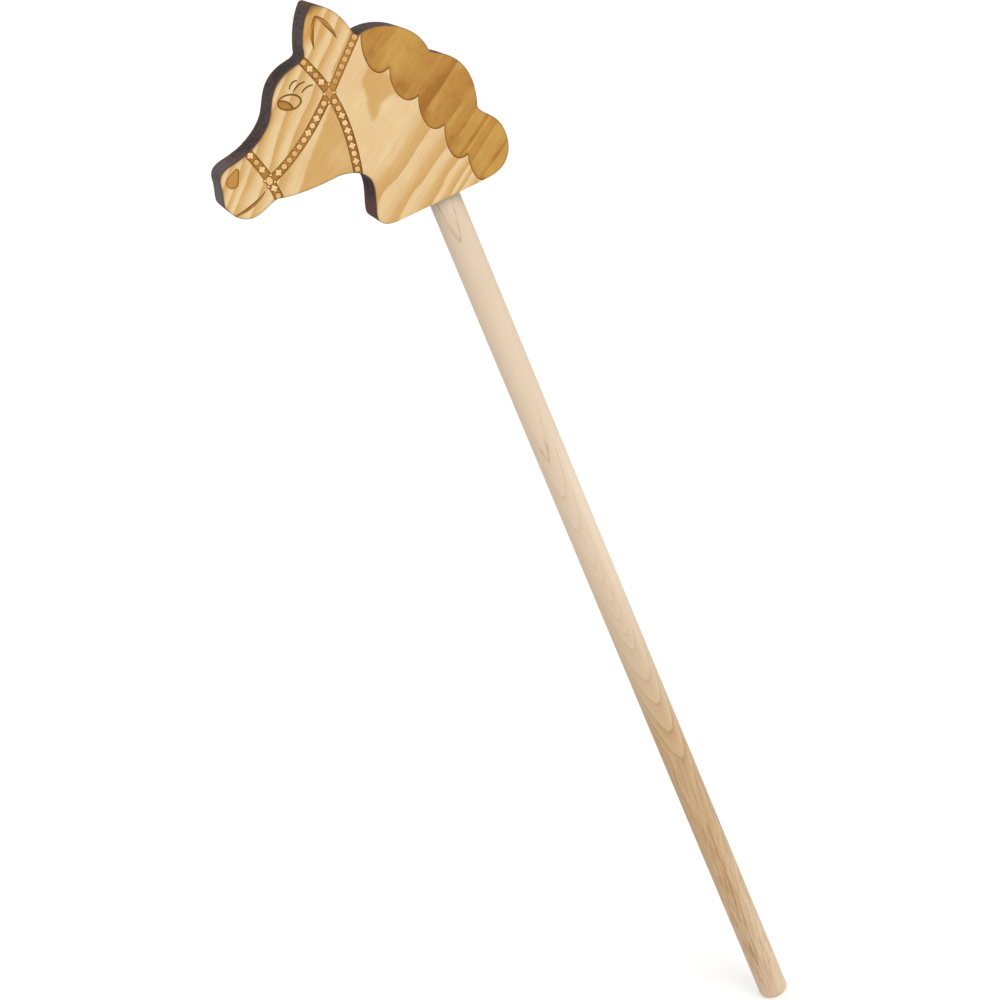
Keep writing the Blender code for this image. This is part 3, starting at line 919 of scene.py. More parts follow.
def marked(tree, geometry, burnt):
    """The geometry with all its faces marked: 1 for burnt, 0 for bare wood."""
    return node(tree, "GeometryNodeStoreNamedAttribute",
                {"Geometry": geometry, "Name": "burnt", "Value": burnt},
                data_type="FLOAT", domain="FACE").outputs[0]


def geometry_tree(name, sizes):
    """An empty tree with a geometry socket on each side and one named input for each size."""
    tree = bpy.data.node_groups.new(name, "GeometryNodeTree")
    tree.interface.new_socket("Places", in_out="INPUT", socket_type="NodeSocketGeometry")
    for size in sizes:
        tree.interface.new_socket(size, in_out="INPUT", socket_type="NodeSocketFloat")
    for material in ("Wood", "Burnt"):
        tree.interface.new_socket(material, in_out="INPUT", socket_type="NodeSocketMaterial")
    tree.interface.new_socket("Pieces", in_out="OUTPUT", socket_type="NodeSocketGeometry")
    return tree, node(tree, "NodeGroupInput").outputs


def raised_disc(tree, outline, bottom, top, chamfer, burnt):
    """A closed low block on a flat outline, with its upper corner taken off."""
    floor = node(tree, "GeometryNodeFillCurve", {"Curve": outline}, mode="NGONS")
    wall = calc(tree, "SUBTRACT", calc(tree, "SUBTRACT", top, bottom), chamfer)
    raised = node(tree, "GeometryNodeExtrudeMesh", {"Mesh": floor.outputs[0], "Offset Scale": wall})
    capped = node(tree, "GeometryNodeExtrudeMesh", {"Mesh": raised.outputs["Mesh"],
                                                   "Selection": raised.outputs["Top"],
                                                   "Offset Scale": chamfer})
    shrunk = node(tree, "GeometryNodeScaleElements", {"Geometry": capped.outputs["Mesh"],
                                                      "Selection": capped.outputs["Top"],
                                                      "Scale": TOP_SHARE})
    under = node(tree, "GeometryNodeFlipFaces", {"Mesh": floor.outputs[0]})
    both = joined(tree, [under.outputs[0], shrunk.outputs[0]])
    closed = node(tree, "GeometryNodeMergeByDistance", {"Geometry": both, "Distance": TINY})
    drop = node(tree, "ShaderNodeCombineXYZ", {"Z": bottom})
    placed = node(tree, "GeometryNodeTransform", {"Geometry": closed.outputs[0],
                                                 "Translation": drop.outputs[0]})
    return marked(tree, placed.outputs[0], burnt)


def round_outline(tree, diameter, lobe, sides, petals=4.0):
    """A circle whose radius swells and sinks once for each petal, by the lobe's share."""
    radius = calc(tree, "MULTIPLY", diameter, 0.5)
    ring = node(tree, "GeometryNodeCurvePrimitiveCircle", {"Resolution": sides, "Radius": radius})
    place = node(tree, "GeometryNodeInputPosition").outputs[0]
    apart = node(tree, "ShaderNodeSeparateXYZ", {0: place}).outputs
    angle = calc(tree, "ARCTAN2", apart["Y"], apart["X"])
    swing = calc(tree, "COSINE", calc(tree, "MULTIPLY", angle, petals))
    swell = calc(tree, "MULTIPLY_ADD", swing, lobe, 1.0)
    moved = node(tree, "ShaderNodeVectorMath", {0: place, "Scale": swell}, operation="SCALE").outputs[0]
    return node(tree, "GeometryNodeSetPosition", {"Geometry": ring.outputs[0], "Position": moved}).outputs[0]


def burnt_disc(tree, inputs, size, sides, top):
    """A burnt block that shows as a ring round a stud or a pearl, or as the dot on a stud."""
    below = calc(tree, "MULTIPLY", inputs["Sink"], -1.0)
    return raised_disc(tree, round_outline(tree, inputs[size], 0.0, sides), below, top, HAIR * MM, 1.0)


def finish_tree(tree, inputs, shape, choice=None):
    """Sets the shape on its places, makes it real, and gives each face the bare or the burnt material."""
    turn = node(tree, "FunctionNodeEulerToRotation", {0: named(tree, "turn", "FLOAT_VECTOR")})
    places = {"Points": inputs["Places"], "Instance": shape, "Rotation": turn.outputs[0],
              "Scale": named(tree, "stretch", "FLOAT_VECTOR")}
    placed = node(tree, "GeometryNodeInstanceOnPoints", places | (choice or {}))
    real = node(tree, "GeometryNodeRealizeInstances", {"Geometry": placed.outputs[0]})
    bare = node(tree, "GeometryNodeSetMaterial", {"Geometry": real.outputs[0], "Material": inputs["Wood"]})
    is_burnt = calc(tree, "GREATER_THAN", named(tree, "burnt"), 0.5)
    dark = node(tree, "GeometryNodeSetMaterial", {"Geometry": bare.outputs[0], "Selection": is_burnt,
                                                 "Material": inputs["Burnt"]})
    node(tree, "NodeGroupOutput", {0: dark.outputs[0]})
    return tree


def stud_tree():
    """Round studs, four-lobed studs and petalled bosses, on places that say which and how they lie."""
    tree, inputs = geometry_tree("bridle_studs", ("Round size", "Lobed size", "Lobe", "Petal", "Height",
                                                  "Chamfer", "Halo size", "Halo height", "Dot size", "Sink"))
    below = calc(tree, "MULTIPLY", inputs["Sink"], -1.0)
    halo = burnt_disc(tree, inputs, "Halo size", ROUND_SIDES, inputs["Halo height"])
    dot = burnt_disc(tree, inputs, "Dot size", DOT_SIDES, calc(tree, "ADD", inputs["Height"], HAIR * MM))
    kinds = []
    for size, lobe, sides, petals in ((inputs["Round size"], 0.0, ROUND_SIDES, 4.0),
                                      (inputs["Lobed size"], inputs["Lobe"], ROUND_SIDES, 4.0),
                                      (inputs["Round size"], inputs["Petal"], CIRCLE_STEPS, 8.0)):
        outline = round_outline(tree, size, lobe, sides, petals)
        body = raised_disc(tree, outline, below, inputs["Height"], inputs["Chamfer"], 0.0)
        whole = joined(tree, [halo, body, dot])
        kinds.append(node(tree, "GeometryNodeGeometryToInstance", {0: whole}).outputs[0])
    return finish_tree(tree, inputs, joined(tree, kinds[::-1]),
                       {"Pick Instance": True, "Instance Index": named(tree, "kind", "INT")})


def pearl_tree():
    """Small domes, each with a burnt ring round its foot."""
    tree, inputs = geometry_tree("bridle_pearls", ("Size", "Height", "Halo size", "Halo height", "Sink"))
    halo = burnt_disc(tree, inputs, "Halo size", PIT_SIDES, inputs["Halo height"])
    ball = node(tree, "GeometryNodeMeshIcoSphere", {"Radius": 1.0, "Subdivisions": 3})
    half = calc(tree, "MULTIPLY", inputs["Size"], 0.5)
    flat = node(tree, "ShaderNodeCombineXYZ", {"X": half, "Y": half, "Z": inputs["Height"]})
    dome = node(tree, "GeometryNodeTransform", {"Geometry": ball.outputs[0], "Scale": flat.outputs[0]})
    return finish_tree(tree, inputs, joined(tree, [halo, marked(tree, dome.outputs[0], 0.0)]))


def places_object(name, places):
    """A mesh of loose points on both faces, with what the trees read on each of them."""
    corners = []
    values = {"turn": [], "stretch": [], "kind": [], "tint": [], "faint": []}
    for side in (-1, 1):
        for point, along, kind, tint, fading, stretch in places:
            corners.append((point.x * MM, side * (FACE - STRAP_DEPTH) * MM, (point.y + HEAD_FOOT) * MM))
            values["turn"] += [-side * math.pi / 2, -math.atan2(along.y, along.x), 0.0]
            values["stretch"] += stretch
            values["kind"].append(kind)
            values["tint"].append(tint)
            values["faint"].append(fading)
    mesh = bpy.data.meshes.new(name)
    mesh.from_pydata(corners, [], [])
    for key, kind in (("turn", "FLOAT_VECTOR"), ("stretch", "FLOAT_VECTOR"), ("kind", "INT"),
                      ("tint", "FLOAT"), ("faint", "FLOAT")):
        field = "vector" if kind == "FLOAT_VECTOR" else "value"
        mesh.attributes.new(key, kind, "POINT").data.foreach_set(field, values[key])
    return new_object(name, mesh)


def cut_at_rim(mesh, places):
    """Cuts off what of a stud reaches past the board's edge, as the saw did, and closes the cut."""
    outline = inset(head_outline(), RIM_MARGIN)
    corners = as_array(outline)
    reach = (STUD_HALO / 2 + HAIR / 2) * MM
    mesh_data = bmesh.new()
    mesh_data.from_mesh(mesh)
    for point, *_ in places:
        gaps = corners - (point.x, point.y)
        far = np.hypot(gaps[:, 0], gaps[:, 1])
        nearest = int(far.argmin())
        if far[nearest] > STUD_HALO:
            continue
        along = outline[(nearest + 1) % len(outline)] - outline[nearest - 1]
        out = Vector((along.y, 0.0, -along.x)).normalized()
        if out.dot(Vector((gaps[nearest][0], 0.0, gaps[nearest][1]))) < 0.0:
            out = -out
        centre = Vector((point.x, 0.0, point.y + HEAD_FOOT)) * MM
        edge = Vector((corners[nearest][0], 0.0, corners[nearest][1] + HEAD_FOOT)) * MM
        own = [v for v in mesh_data.verts
               if math.hypot(v.co.x - centre.x, v.co.z - centre.z) < reach]
        held = set(own)
        faces = [f for f in mesh_data.faces if all(v in held for v in f.verts)]
        sides = {e for f in faces for e in f.edges}
        cut = bmesh.ops.bisect_plane(mesh_data, geom=own + list(sides) + faces, dist=CUT_TOLERANCE,
                                     plane_co=edge, plane_no=out, clear_outer=True)
        rims = [item for item in cut["geom_cut"] if isinstance(item, bmesh.types.BMEdge)]
        bmesh.ops.holes_fill(mesh_data, edges=rims, sides=0)
    bmesh.ops.recalc_face_normals(mesh_data, faces=mesh_data.faces)
    mesh_data.to_mesh(mesh)
    mesh_data.free()


def grown(name, places, tree, values):
    """Runs a tree on its places and keeps the result as a plain mesh."""
    seedling = places_object(name + "_places", places)
    modifier = seedling.modifiers.new("grow", "NODES")
    modifier.node_group = tree
    for item in tree.interface.items_tree:
        if item.item_type == "SOCKET" and item.in_out == "INPUT" and item.name in values:
            modifier[item.identifier] = values[item.name]
    shown = bpy.context.evaluated_depsgraph_get()
    mesh = bpy.data.meshes.new_from_object(seedling.evaluated_get(shown), depsgraph=shown)
    bpy.data.objects.remove(seedling, do_unlink=True)
    mesh.name = name
    cut_at_rim(mesh, places)
    mesh.shade_smooth()
    mesh.set_sharp_from_angle(angle=STUD_CREASE)
    return new_object(name, mesh)


def build_studs(materials):
    shared = {"Sink": SUNK * MM, "Wood": materials["stud_wood"], "Burnt": materials["burnt_line"]}
    studs = grown("bridle_studs", stud_places(), stud_tree(), {
        "Round size": STUD_SIZE * MM, "Lobed size": LOBED_SIZE * MM, "Lobe": STUD_LOBE, "Petal": BOSS_PETAL,
        "Height": STUD_HEIGHT * MM, "Chamfer": STUD_CHAMFER * MM, "Halo size": STUD_HALO * MM,
        "Halo height": HALO_HEIGHT * MM, "Dot size": STUD_DOT * MM, **shared})
    pearls = [(place, Vector((1.0, 0.0)), 0, 0.0, 0.0, (1.0, 1.0, 1.0)) for place in pearl_places()]
    beads = grown("bridle_pearls", pearls, pearl_tree(), {
        "Size": PEARL_SIZE * MM, "Height": PEARL_HEIGHT * MM, "Halo size": PEARL_PIT * MM,
        "Halo height": PIT_HEIGHT * MM, **shared})
    return [studs, beads]


# Materials

MATT = 0.25
BURNT_MATT = 0.12
SOOTY = 0.05
RELIEF = 0.35
SCORCH_REACH = 0.5
DEEPENING = 0.4
BAND_WANDER = 3.0
SAW_LINES = (900.0, 60.0, 900.0)


def linear(red, green, blue):
    """A colour written in 0 to 255 as it looks on screen."""
    return tuple(((c / 255 + 0.055) / 1.055) ** 2.4 if c > 10 else c / 255 / 12.92
                 for c in (red, green, blue)) + (1.0,)


PINE_PALE = linear(240, 211, 159)
PINE_TAN = linear(217, 171, 103)
PINE_LATE = linear(198, 148, 86)
PINE_PINK = linear(238, 203, 152)
TOASTED = linear(212, 156, 72)
SCORCHED = linear(106, 70, 42)
SINGED = linear(52, 40, 40)
MANE_GOLD = linear(209, 163, 81)
MANE_BROWN = linear(180, 120, 49)
MANE_DARK = linear(152, 98, 34)
STRAP_BROWN = linear(188, 132, 62)
STRAP_DARK = linear(164, 112, 50)
LINE_BROWN = linear(154, 107, 45)
LINE_DARK = linear(130, 89, 37)
ROOT_BROWN = linear(162, 111, 42)
ROOT_DARK = linear(138, 91, 32)
FAINT_FLOOR = linear(200, 146, 72)
FAINT_LINE = linear(182, 131, 60)
FILL_BROWN = linear(196, 138, 64)
FILL_DARK = linear(172, 114, 48)
FILL_GOLD = linear(214, 162, 82)
CHAR_GREY = linear(84, 78, 80)
CHAR_BLACK = linear(42, 36, 37)
CHAR_BROWN = linear(104, 72, 64)
CHAR_TAN = linear(100, 68, 38)
# Colour of the painted light on the charred edge.
CHAR_PAINTED_LIGHT = linear(112, 106, 108)
STUD_PALE = linear(254, 212, 153)
STUD_ORANGE = linear(213, 154, 74)
STUD_BROWN = linear(208, 154, 90)
STICK_PINK = linear(232, 209, 182)
STICK_PAINTED_HIGHLIGHT = linear(248, 229, 204)
# Colour of the painted highlight on the stick's lit side.
STICK_GOLD = linear(212, 180, 138)
STICK_GREY = linear(214, 196, 172)
STICK_STREAK = linear(176, 132, 88)
STICK_LINE = linear(172, 134, 92)


def group(name, inputs, outputs):
    """A shader group with named sockets; returns it with its input sockets."""
    tree = bpy.data.node_groups.new(name, "ShaderNodeTree")
    kinds = {"value": "NodeSocketFloat", "colour": "NodeSocketColor", "vector": "NodeSocketVector"}
    for socket, kind in inputs:
        tree.interface.new_socket(socket, in_out="INPUT", socket_type=kinds[kind])
    for socket, kind in outputs:
        tree.interface.new_socket(socket, in_out="OUTPUT", socket_type=kinds[kind])
    return tree, node(tree, "NodeGroupInput").outputs


def fill_group(tree, name, inputs):
    """A shader group with its inputs filled; returns its output sockets."""
    return node(tree, "ShaderNodeGroup", inputs, node_tree=bpy.data.node_groups[name]).outputs


def mixed(tree, share, a, b, blend="MIX"):
    made = node(tree, "ShaderNodeMix", {0: share, 6: a, 7: b}, data_type="RGBA", blend_type=blend)
    return made.outputs[2]


def way_from(tree, value, start, end, full=1.0):
    """How far a value has come from the start to the end, kept between 0 and full."""
    return node(tree, "ShaderNodeMapRange", {"Value": value, "From Min": start, "From Max": end,
                                             "To Max": full}).outputs["Result"]


def ramp(tree, value, stops):
    """Grey levels between (place, level) stops."""
    made = node(tree, "ShaderNodeValToRGB", {0: value})
    elements = made.color_ramp.elements
    for i, (place, level) in enumerate(stops):
        element = elements[i] if i < 2 else elements.new(place)
        element.position = place
        element.color = (level, level, level, 1.0)
    return made.outputs[0]


def attribute(tree, name):
    return node(tree, "ShaderNodeAttribute", attribute_name=name).outputs["Fac"]


def object_place(tree):
    return node(tree, "ShaderNodeTexCoord").outputs["Object"]


def build_groups():
    tree, sockets = group("fibres", [("Vector", "vector"), ("Spacing", "value"), ("Stretch", "value"),
                                     ("Slope", "value")], [("Coarse", "value"), ("Fine", "value")])
    turned = node(tree, "ShaderNodeVectorRotate", {"Vector": sockets["Vector"], "Angle": sockets["Slope"]},
                  rotation_type="Y_AXIS").outputs[0]
    across = calc(tree, "DIVIDE", 1.0, sockets["Spacing"])
    along = calc(tree, "DIVIDE", across, sockets["Stretch"])
    scale = node(tree, "ShaderNodeCombineXYZ", {"X": along, "Y": across, "Z": across}).outputs[0]
    wide = node(tree, "ShaderNodeVectorMath", {0: turned, 1: scale}, operation="MULTIPLY").outputs[0]
    found = {}
    for name, fineness, detail, roughness in (("Coarse", 1.0, 3.0, 0.55), ("Fine", 3.7, 4.0, 0.6)):
        found[name] = node(tree, "ShaderNodeTexNoise", {"Vector": wide, "Scale": fineness, "Detail": detail,
                                                        "Roughness": roughness}).outputs["Fac"]
    node(tree, "NodeGroupOutput", found)

    tree, sockets = group("ring_tone", [("Ring", "value"), ("Wander", "value"), ("Noise", "value")],
                          [("Tone", "value"), ("Late", "value")])
    stray = calc(tree, "MULTIPLY", calc(tree, "SUBTRACT", sockets["Noise"], 0.5), sockets["Wander"])
    ring = calc(tree, "MAXIMUM", calc(tree, "ADD", sockets["Ring"], stray), 0.02)
    share = calc(tree, "FRACT", ring)
    tone = ramp(tree, share, [(0.0, 0.45), (0.05, 0.12), (0.25, 0.08), (0.47, 0.38), (0.7, 0.82), (0.86, 1.0),
                              (0.95, 0.9), (1.0, 0.45)])
    late = ramp(tree, share, [(0.0, 0.25), (0.03, 0.0), (0.88, 0.0), (1.0, 1.0)])
    node(tree, "NodeGroupOutput", {"Tone": tone, "Late": late})

    tree, sockets = group("scorch", [("Colour", "colour"), ("Burn", "colour"), ("Soot", "colour"),
                                     ("Closeness", "value"), ("Range", "value"), ("Reach", "value"),
                                     ("Noise", "value")], [("Colour", "colour")])
    far = calc(tree, "MULTIPLY", calc(tree, "SUBTRACT", 1.0, sockets["Closeness"]), sockets["Range"])
    uneven = calc(tree, "MULTIPLY_ADD", sockets["Noise"], 0.9, 0.55)
    share = calc(tree, "DIVIDE", far, calc(tree, "MULTIPLY", sockets["Reach"], uneven))
    amount = calc(tree, "EXPONENT", calc(tree, "MULTIPLY", share, -1.0))
    burnt = mixed(tree, amount, sockets["Colour"], sockets["Burn"])
    sooty = ramp(tree, amount, [(0.7, 0.0), (0.97, 0.85)])
    node(tree, "NodeGroupOutput", {"Colour": mixed(tree, sooty, burnt, sockets["Soot"])})


def new_material(name, gloss=MATT):
    material = bpy.data.materials.new(name)
    material.use_nodes = True
    tree = material.node_tree
    shader = tree.nodes["Principled BSDF"]
    shader.inputs["Specular IOR Level"].default_value = gloss
    return material, tree, shader


def dress(tree, shader, colour, roughness, height, depth):
    """Links colour, roughness and a fine relief into the shader."""
    bump = node(tree, "ShaderNodeBump", {"Height": height, "Distance": depth * MM, "Strength": RELIEF})
    tree.links.new(colour, shader.inputs["Base Color"])
    tree.links.new(roughness, shader.inputs["Roughness"])
    tree.links.new(bump.outputs[0], shader.inputs["Normal"])


def dress_wood(tree, shader, colour, fibres, rough_low, rough_high, depth):
    """Dresses the shader with what the fibres give: roughness by the coarse ones, relief by the fine."""
    rough = ramp(tree, fibres["Coarse"], [(0.0, rough_low), (1.0, rough_high)])
    dress(tree, shader, colour, rough, fibres["Fine"], depth)


def fine_grained(tree, body, fibres, darkest, lightest):
    """The colour a little darker and lighter along the fine fibres."""
    return mixed(tree, 1.0, body, ramp(tree, fibres["Fine"], [(0.3, darkest), (0.7, lightest)]), "MULTIPLY")


def scorched(tree, body):
    """The colour with its burn along the sawn rim."""
    return fill_group(tree, "scorch", {"Colour": body, "Burn": SCORCHED, "Soot": SINGED, "Range": RIM_REACH,
                                       "Reach": SCORCH_REACH, "Closeness": attribute(tree, "near_rim"),
                                       "Noise": cloud(tree, 9.0)})["Colour"]


def wood_fibres(tree, spacing, stretch, slope=GRAIN_SLOPE):
    return fill_group(tree, "fibres", {"Vector": object_place(tree), "Spacing": spacing * MM,
                                       "Stretch": stretch, "Slope": slope})


def cloud(tree, size, detail=2.0):
    """Soft uneven patches of about that size, in millimetres."""
    return node(tree, "ShaderNodeTexNoise", {"Vector": object_place(tree), "Scale": 1.0 / (size * MM),
                                            "Detail": detail}).outputs["Fac"]


def patches(tree, size, start, end, full=1.0, detail=3.0):
    """Patches of about that size: none where the cloud is below the start, full where it is past the end."""
    return ramp(tree, cloud(tree, size, detail), [(start, 0.0), (end, full)])


def bare_pine():
    """Pale and pink wood with growth rings, the flame on the neck and the golden scorch on the ear."""
    material, tree, shader = new_material("bare_pine")
    fibres = wood_fibres(tree, 2.6, 14.0)
    rings = fill_group(tree, "ring_tone", {"Ring": attribute(tree, "ring"), "Wander": 0.16,
                                           "Noise": fibres["Coarse"]})
    pale = mixed(tree, patches(tree, 34.0, 0.38, 0.62, detail=2.0), PINE_PALE, PINE_PINK)
    tone = calc(tree, "MAXIMUM", rings["Tone"], calc(tree, "MULTIPLY", attribute(tree, "blotch"), 0.95))
    tone = calc(tree, "MULTIPLY_ADD", attribute(tree, "deep"), DEEPENING, tone)
    stray = calc(tree, "SUBTRACT", fibres["Coarse"], 0.5)
    body = mixed(tree, calc(tree, "MULTIPLY_ADD", stray, 0.5, tone, clamp=True), pale, PINE_TAN)
    body = mixed(tree, calc(tree, "MULTIPLY", rings["Late"], 0.55), body, PINE_LATE)
    body = fine_grained(tree, body, fibres, 0.90, 1.04)
    body = mixed(tree, attribute(tree, "toast"), body, TOASTED)
    dress_wood(tree, shader, scorched(tree, body), fibres, 0.5, 0.68, 0.12)
    return material


def burnt_mane():
    """The mane's burnt floor: gold to dark brown in bands along the grain."""
    material, tree, shader = new_material("burnt_mane")
    fibres = wood_fibres(tree, 2.0, 16.0)
    stray = calc(tree, "SUBTRACT", fibres["Coarse"], 0.5)
    level = calc(tree, "MULTIPLY_ADD", stray, BAND_WANDER / (MANE_HIGH - MANE_LOW), attribute(tree, "ring"))
    brown = calc(tree, "MAXIMUM", ramp(tree, level, mane_tones()), attribute(tree, "blot"))
    brown = calc(tree, "ADD", brown, patches(tree, 22.0, 0.4, 0.62, 0.22))
    brown = calc(tree, "MULTIPLY_ADD", attribute(tree, "deep"), DEEPENING, brown)
    brown = calc(tree, "MULTIPLY_ADD", stray, 0.6, brown, clamp=True)
    body = mixed(tree, ramp(tree, brown, [(0.0, 0.0), (1.0, 1.0)]), MANE_GOLD, MANE_BROWN)
    body = mixed(tree, ramp(tree, brown, [(0.72, 0.0), (1.0, 0.5)]), body, MANE_DARK)
    body = fine_grained(tree, body, fibres, 0.86, 1.08)
    dress_wood(tree, shader, scorched(tree, body), fibres, 0.55, 0.75, 0.2)
    return material


def burnt_patch(name, light, dark, pale, rough_low, rough_high):
    """A plain burnt floor, uneven along the grain, and paler where the burning is faint."""
    material, tree, shader = new_material(name, BURNT_MATT)
    fibres = wood_fibres(tree, 1.6, 8.0)
    streaks = calc(tree, "MULTIPLY", fibres["Fine"], 0.5)
    share = calc(tree, "MULTIPLY_ADD", cloud(tree, 8.0, 3.0), 0.9, streaks)
    body = mixed(tree, ramp(tree, share, [(0.45, 0.0), (0.95, 1.0)]), light, dark)
    body = mixed(tree, calc(tree, "MULTIPLY", attribute(tree, "faint"), 0.75), body, pale)
    body = fine_grained(tree, body, fibres, 0.88, 1.07)
    dress_wood(tree, shader, scorched(tree, body), fibres, rough_low, rough_high, 0.15)
    return material


def charred_edge():
    """Sawn and charred: fine lines through the thickness, soot with brown showing near the faces, and painted
    light and shade at a few places round the edge.
    """
    material, tree, shader = new_material("charred_edge", SOOTY)
    fibres = wood_fibres(tree, 1.4, 10.0, 0.0)
    place = object_place(tree)
    stretch = node(tree, "ShaderNodeMapping", {"Vector": place, "Scale": SAW_LINES}).outputs[0]
    saw = node(tree, "ShaderNodeTexNoise", {"Vector": stretch, "Scale": 1.0, "Detail": 2.0}).outputs["Fac"]
    # Grey share of the saw lines, raised by painted light and lowered by painted shade at the spots.
    grey = calc(tree, "ADD", ramp(tree, saw, [(0.36, 0.0), (0.62, 0.8)]), attribute(tree, "painted_light_and_shade"))
    grey = calc(tree, "ADD", grey, patches(tree, 8.0, 0.4, 0.6, 0.2), clamp=True)
    body = mixed(tree, grey, CHAR_BLACK, CHAR_GREY)
    brown = calc(tree, "MAXIMUM", patches(tree, 14.0, 0.5, 0.72, 0.7), attribute(tree, "reddened"))
    body = mixed(tree, brown, body, CHAR_BROWN)
    # Painted light: the lit spots turn to a paler grey.
    painted_light_and_shade = calc(tree, "MULTIPLY", grey, attribute(tree, "painted_light_and_shade"), clamp=True)
    body = mixed(tree, painted_light_and_shade, body, CHAR_PAINTED_LIGHT)
    apart = node(tree, "ShaderNodeSeparateXYZ", {0: place}).outputs
    to_face = calc(tree, "SUBTRACT", FACE, calc(tree, "DIVIDE", calc(tree, "ABSOLUTE", apart["Y"]), MM))
    closeness = calc(tree, "SUBTRACT", 1.0, calc(tree, "DIVIDE", to_face, FACE))
    edge = fill_group(tree, "scorch", {"Colour": body, "Burn": CHAR_TAN, "Soot": CHAR_TAN, "Range": FACE,
                                       "Closeness": closeness, "Reach": BROWNED_REACH,
                                       "Noise": cloud(tree, 7.0)})
    rough = ramp(tree, saw, [(0.2, 0.6), (0.8, 0.8)])
    height = calc(tree, "MULTIPLY_ADD", saw, 0.6, fibres["Fine"])
    dress(tree, shader, edge["Colour"], rough, height, 0.15)
    return material


def stud_wood():
    """Pale studs, tinted towards orange and then brown."""
    material, tree, shader = new_material("stud_wood")
    fibres = wood_fibres(tree, 1.4, 8.0)
    tint = attribute(tree, "tint")
    uneven = patches(tree, 5.0, 0.45, 0.7, 0.25, detail=2.0)
    body = mixed(tree, calc(tree, "MULTIPLY_ADD", tint, 0.8, uneven), STUD_PALE, STUD_ORANGE)
    body = mixed(tree, way_from(tree, tint, 1.0, DEEPEST), body, STUD_BROWN)
    body = fine_grained(tree, body, fibres, 0.93, 1.03)
    dress_wood(tree, shader, body, fibres, 0.5, 0.65, 0.08)
    return material


# The stick's growth rings lean, so they come to its surface as long nested arches, open upwards.
# An arch has its foot where its ring, counted in millimetres of depth, meets the stick's near side.
# The topmost is a fine line: half of its ring lies close under it.
ARCH_FEET = [(0, 42.9), (250, 30.4), (420, 16.8), (532, 0.0), (610, -3.9), (795, -35.0)]
TOP_ARCH = 41.15
TOP_ARCH_FINENESS = 0.8
PAST_TOP = 10.0
RINGS_PAST_TOP = 0.8
ARCHES = [31.35, 28.8, 26.3, 23.4, 22.2, 20.7, 19.3, 18.0, 16.8, 12.0, 8.4, 4.05, 0.0, -3.9]
LOWEST_COUNT = 40.0
ARCH_STEP = 4.0
ARCH_SWAY = 0.9
# How far round the stick the middle of the arches lies, in radians, at distances below the head
ARCH_TURNS = [(35, -0.32), (232, -0.49), (303, -0.49), (420, -0.12), (505, 0.08), (532, 0.15), (560, -0.25),
              (610, -0.3), (650, -0.7), (700, -0.9), (795, -1.0)]
# The brown streak low down: place across the near side, and strength, at distances below the head
STREAK_PLACES = [(560, -1.0), (620, -1.5), (655, -3.5), (700, -5.0), (745, -7.5)]
STREAK_LEVELS = [(540, 0.0), (600, 0.35), (650, 0.85), (740, 0.9), (770, 0.5), (790, 0.1)]
STREAK_WIDTH = 13.0
STREAK_LEAN = 0.07
# How strong each of the stick's colours is at distances below the head. The painted highlight, a paler band
# down the stick's +X side where the key light falls, comes in between the two places across the stick in the
# pair after its levels.
GOLD_LEVELS = [(235, 0.0), (325, 0.1), (395, 0.3), (455, 0.7), (505, 1.0), (615, 1.0), (685, 0.85),
               (735, 0.55), (795, 0.35)]
GREY_LEVELS = [(345, 0.0), (425, 0.5), (495, 0.0)]
PAINTED_HIGHLIGHT_LEVELS = [(0, 0.0), (180, 0.2), (260, 0.7), (350, 0.6), (430, 0.2), (600, 0.1), (700, 0.4), (795, 0.3)]
PAINTED_HIGHLIGHT_SIDE = (1.0, 6.0)
TONE_LEVELS = [(295, 0.12), (465, 0.3), (505, 0.8), (600, 0.6), (660, 0.2), (785, 0.1)]
THREAD_LEVELS = [(490, 0.0), (580, 0.5), (740, 0.5), (795, 0.2)]
LINE_LEVELS = [(0, 0.6), (38, 0.6), (46, 0.0), (190, 0.0), (225, 0.5), (245, 0.45), (290, 0.2), (430, 0.25),
               (490, 0.8), (545, 0.8), (600, 0.3), (640, 0.12), (795, 0.05)]


def along_stick(tree, z, stops):
    """A value that changes down the stick, given at distances below the head in millimetres."""
    low = min(value for _, value in stops)
    high = max(value for _, value in stops)
    places = [(1.0 - below / HEAD_FOOT, (value - low) / (high - low)) for below, value in stops]
    level = ramp(tree, calc(tree, "DIVIDE", z, HEAD_FOOT), sorted(places))
    return calc(tree, "MULTIPLY_ADD", level, high - low, low)


def arch_count(tree, place, z):
    """Number of the growth ring that each place in the stick lies in, with the share of that ring."""
    turn = along_stick(tree, z, ARCH_TURNS)
    across = calc(tree, "MULTIPLY", place["X"], calc(tree, "SINE", turn))
    towards = calc(tree, "MULTIPLY", calc(tree, "COSINE", turn), -1.0)
    near = calc(tree, "MULTIPLY_ADD", place["Y"], towards, across)
    level = calc(tree, "ADD", along_stick(tree, z, ARCH_FEET), calc(tree, "SUBTRACT", near, STICK_RADIUS))
    sway = calc(tree, "SUBTRACT", cloud(tree, 70.0), 0.5)
    level = calc(tree, "MULTIPLY_ADD", sway, ARCH_SWAY, level)
    below = calc(tree, "MINIMUM", calc(tree, "SUBTRACT", level, ARCHES[-1]), 0.0)
    count = calc(tree, "MULTIPLY_ADD", below, 1.0 / ARCH_STEP, LOWEST_COUNT)
    fine_foot = TOP_ARCH - TOP_ARCH_FINENESS
    steps = [(upper, lower, 1.0) for upper, lower in zip(ARCHES, ARCHES[1:])]
    steps += [(TOP_ARCH, fine_foot, 0.5), (fine_foot, ARCHES[0], 0.5),
              (TOP_ARCH + PAST_TOP, TOP_ARCH, RINGS_PAST_TOP)]
    for upper, lower, rings in steps:
        count = calc(tree, "ADD", count, way_from(tree, level, lower, upper, rings))
    return count


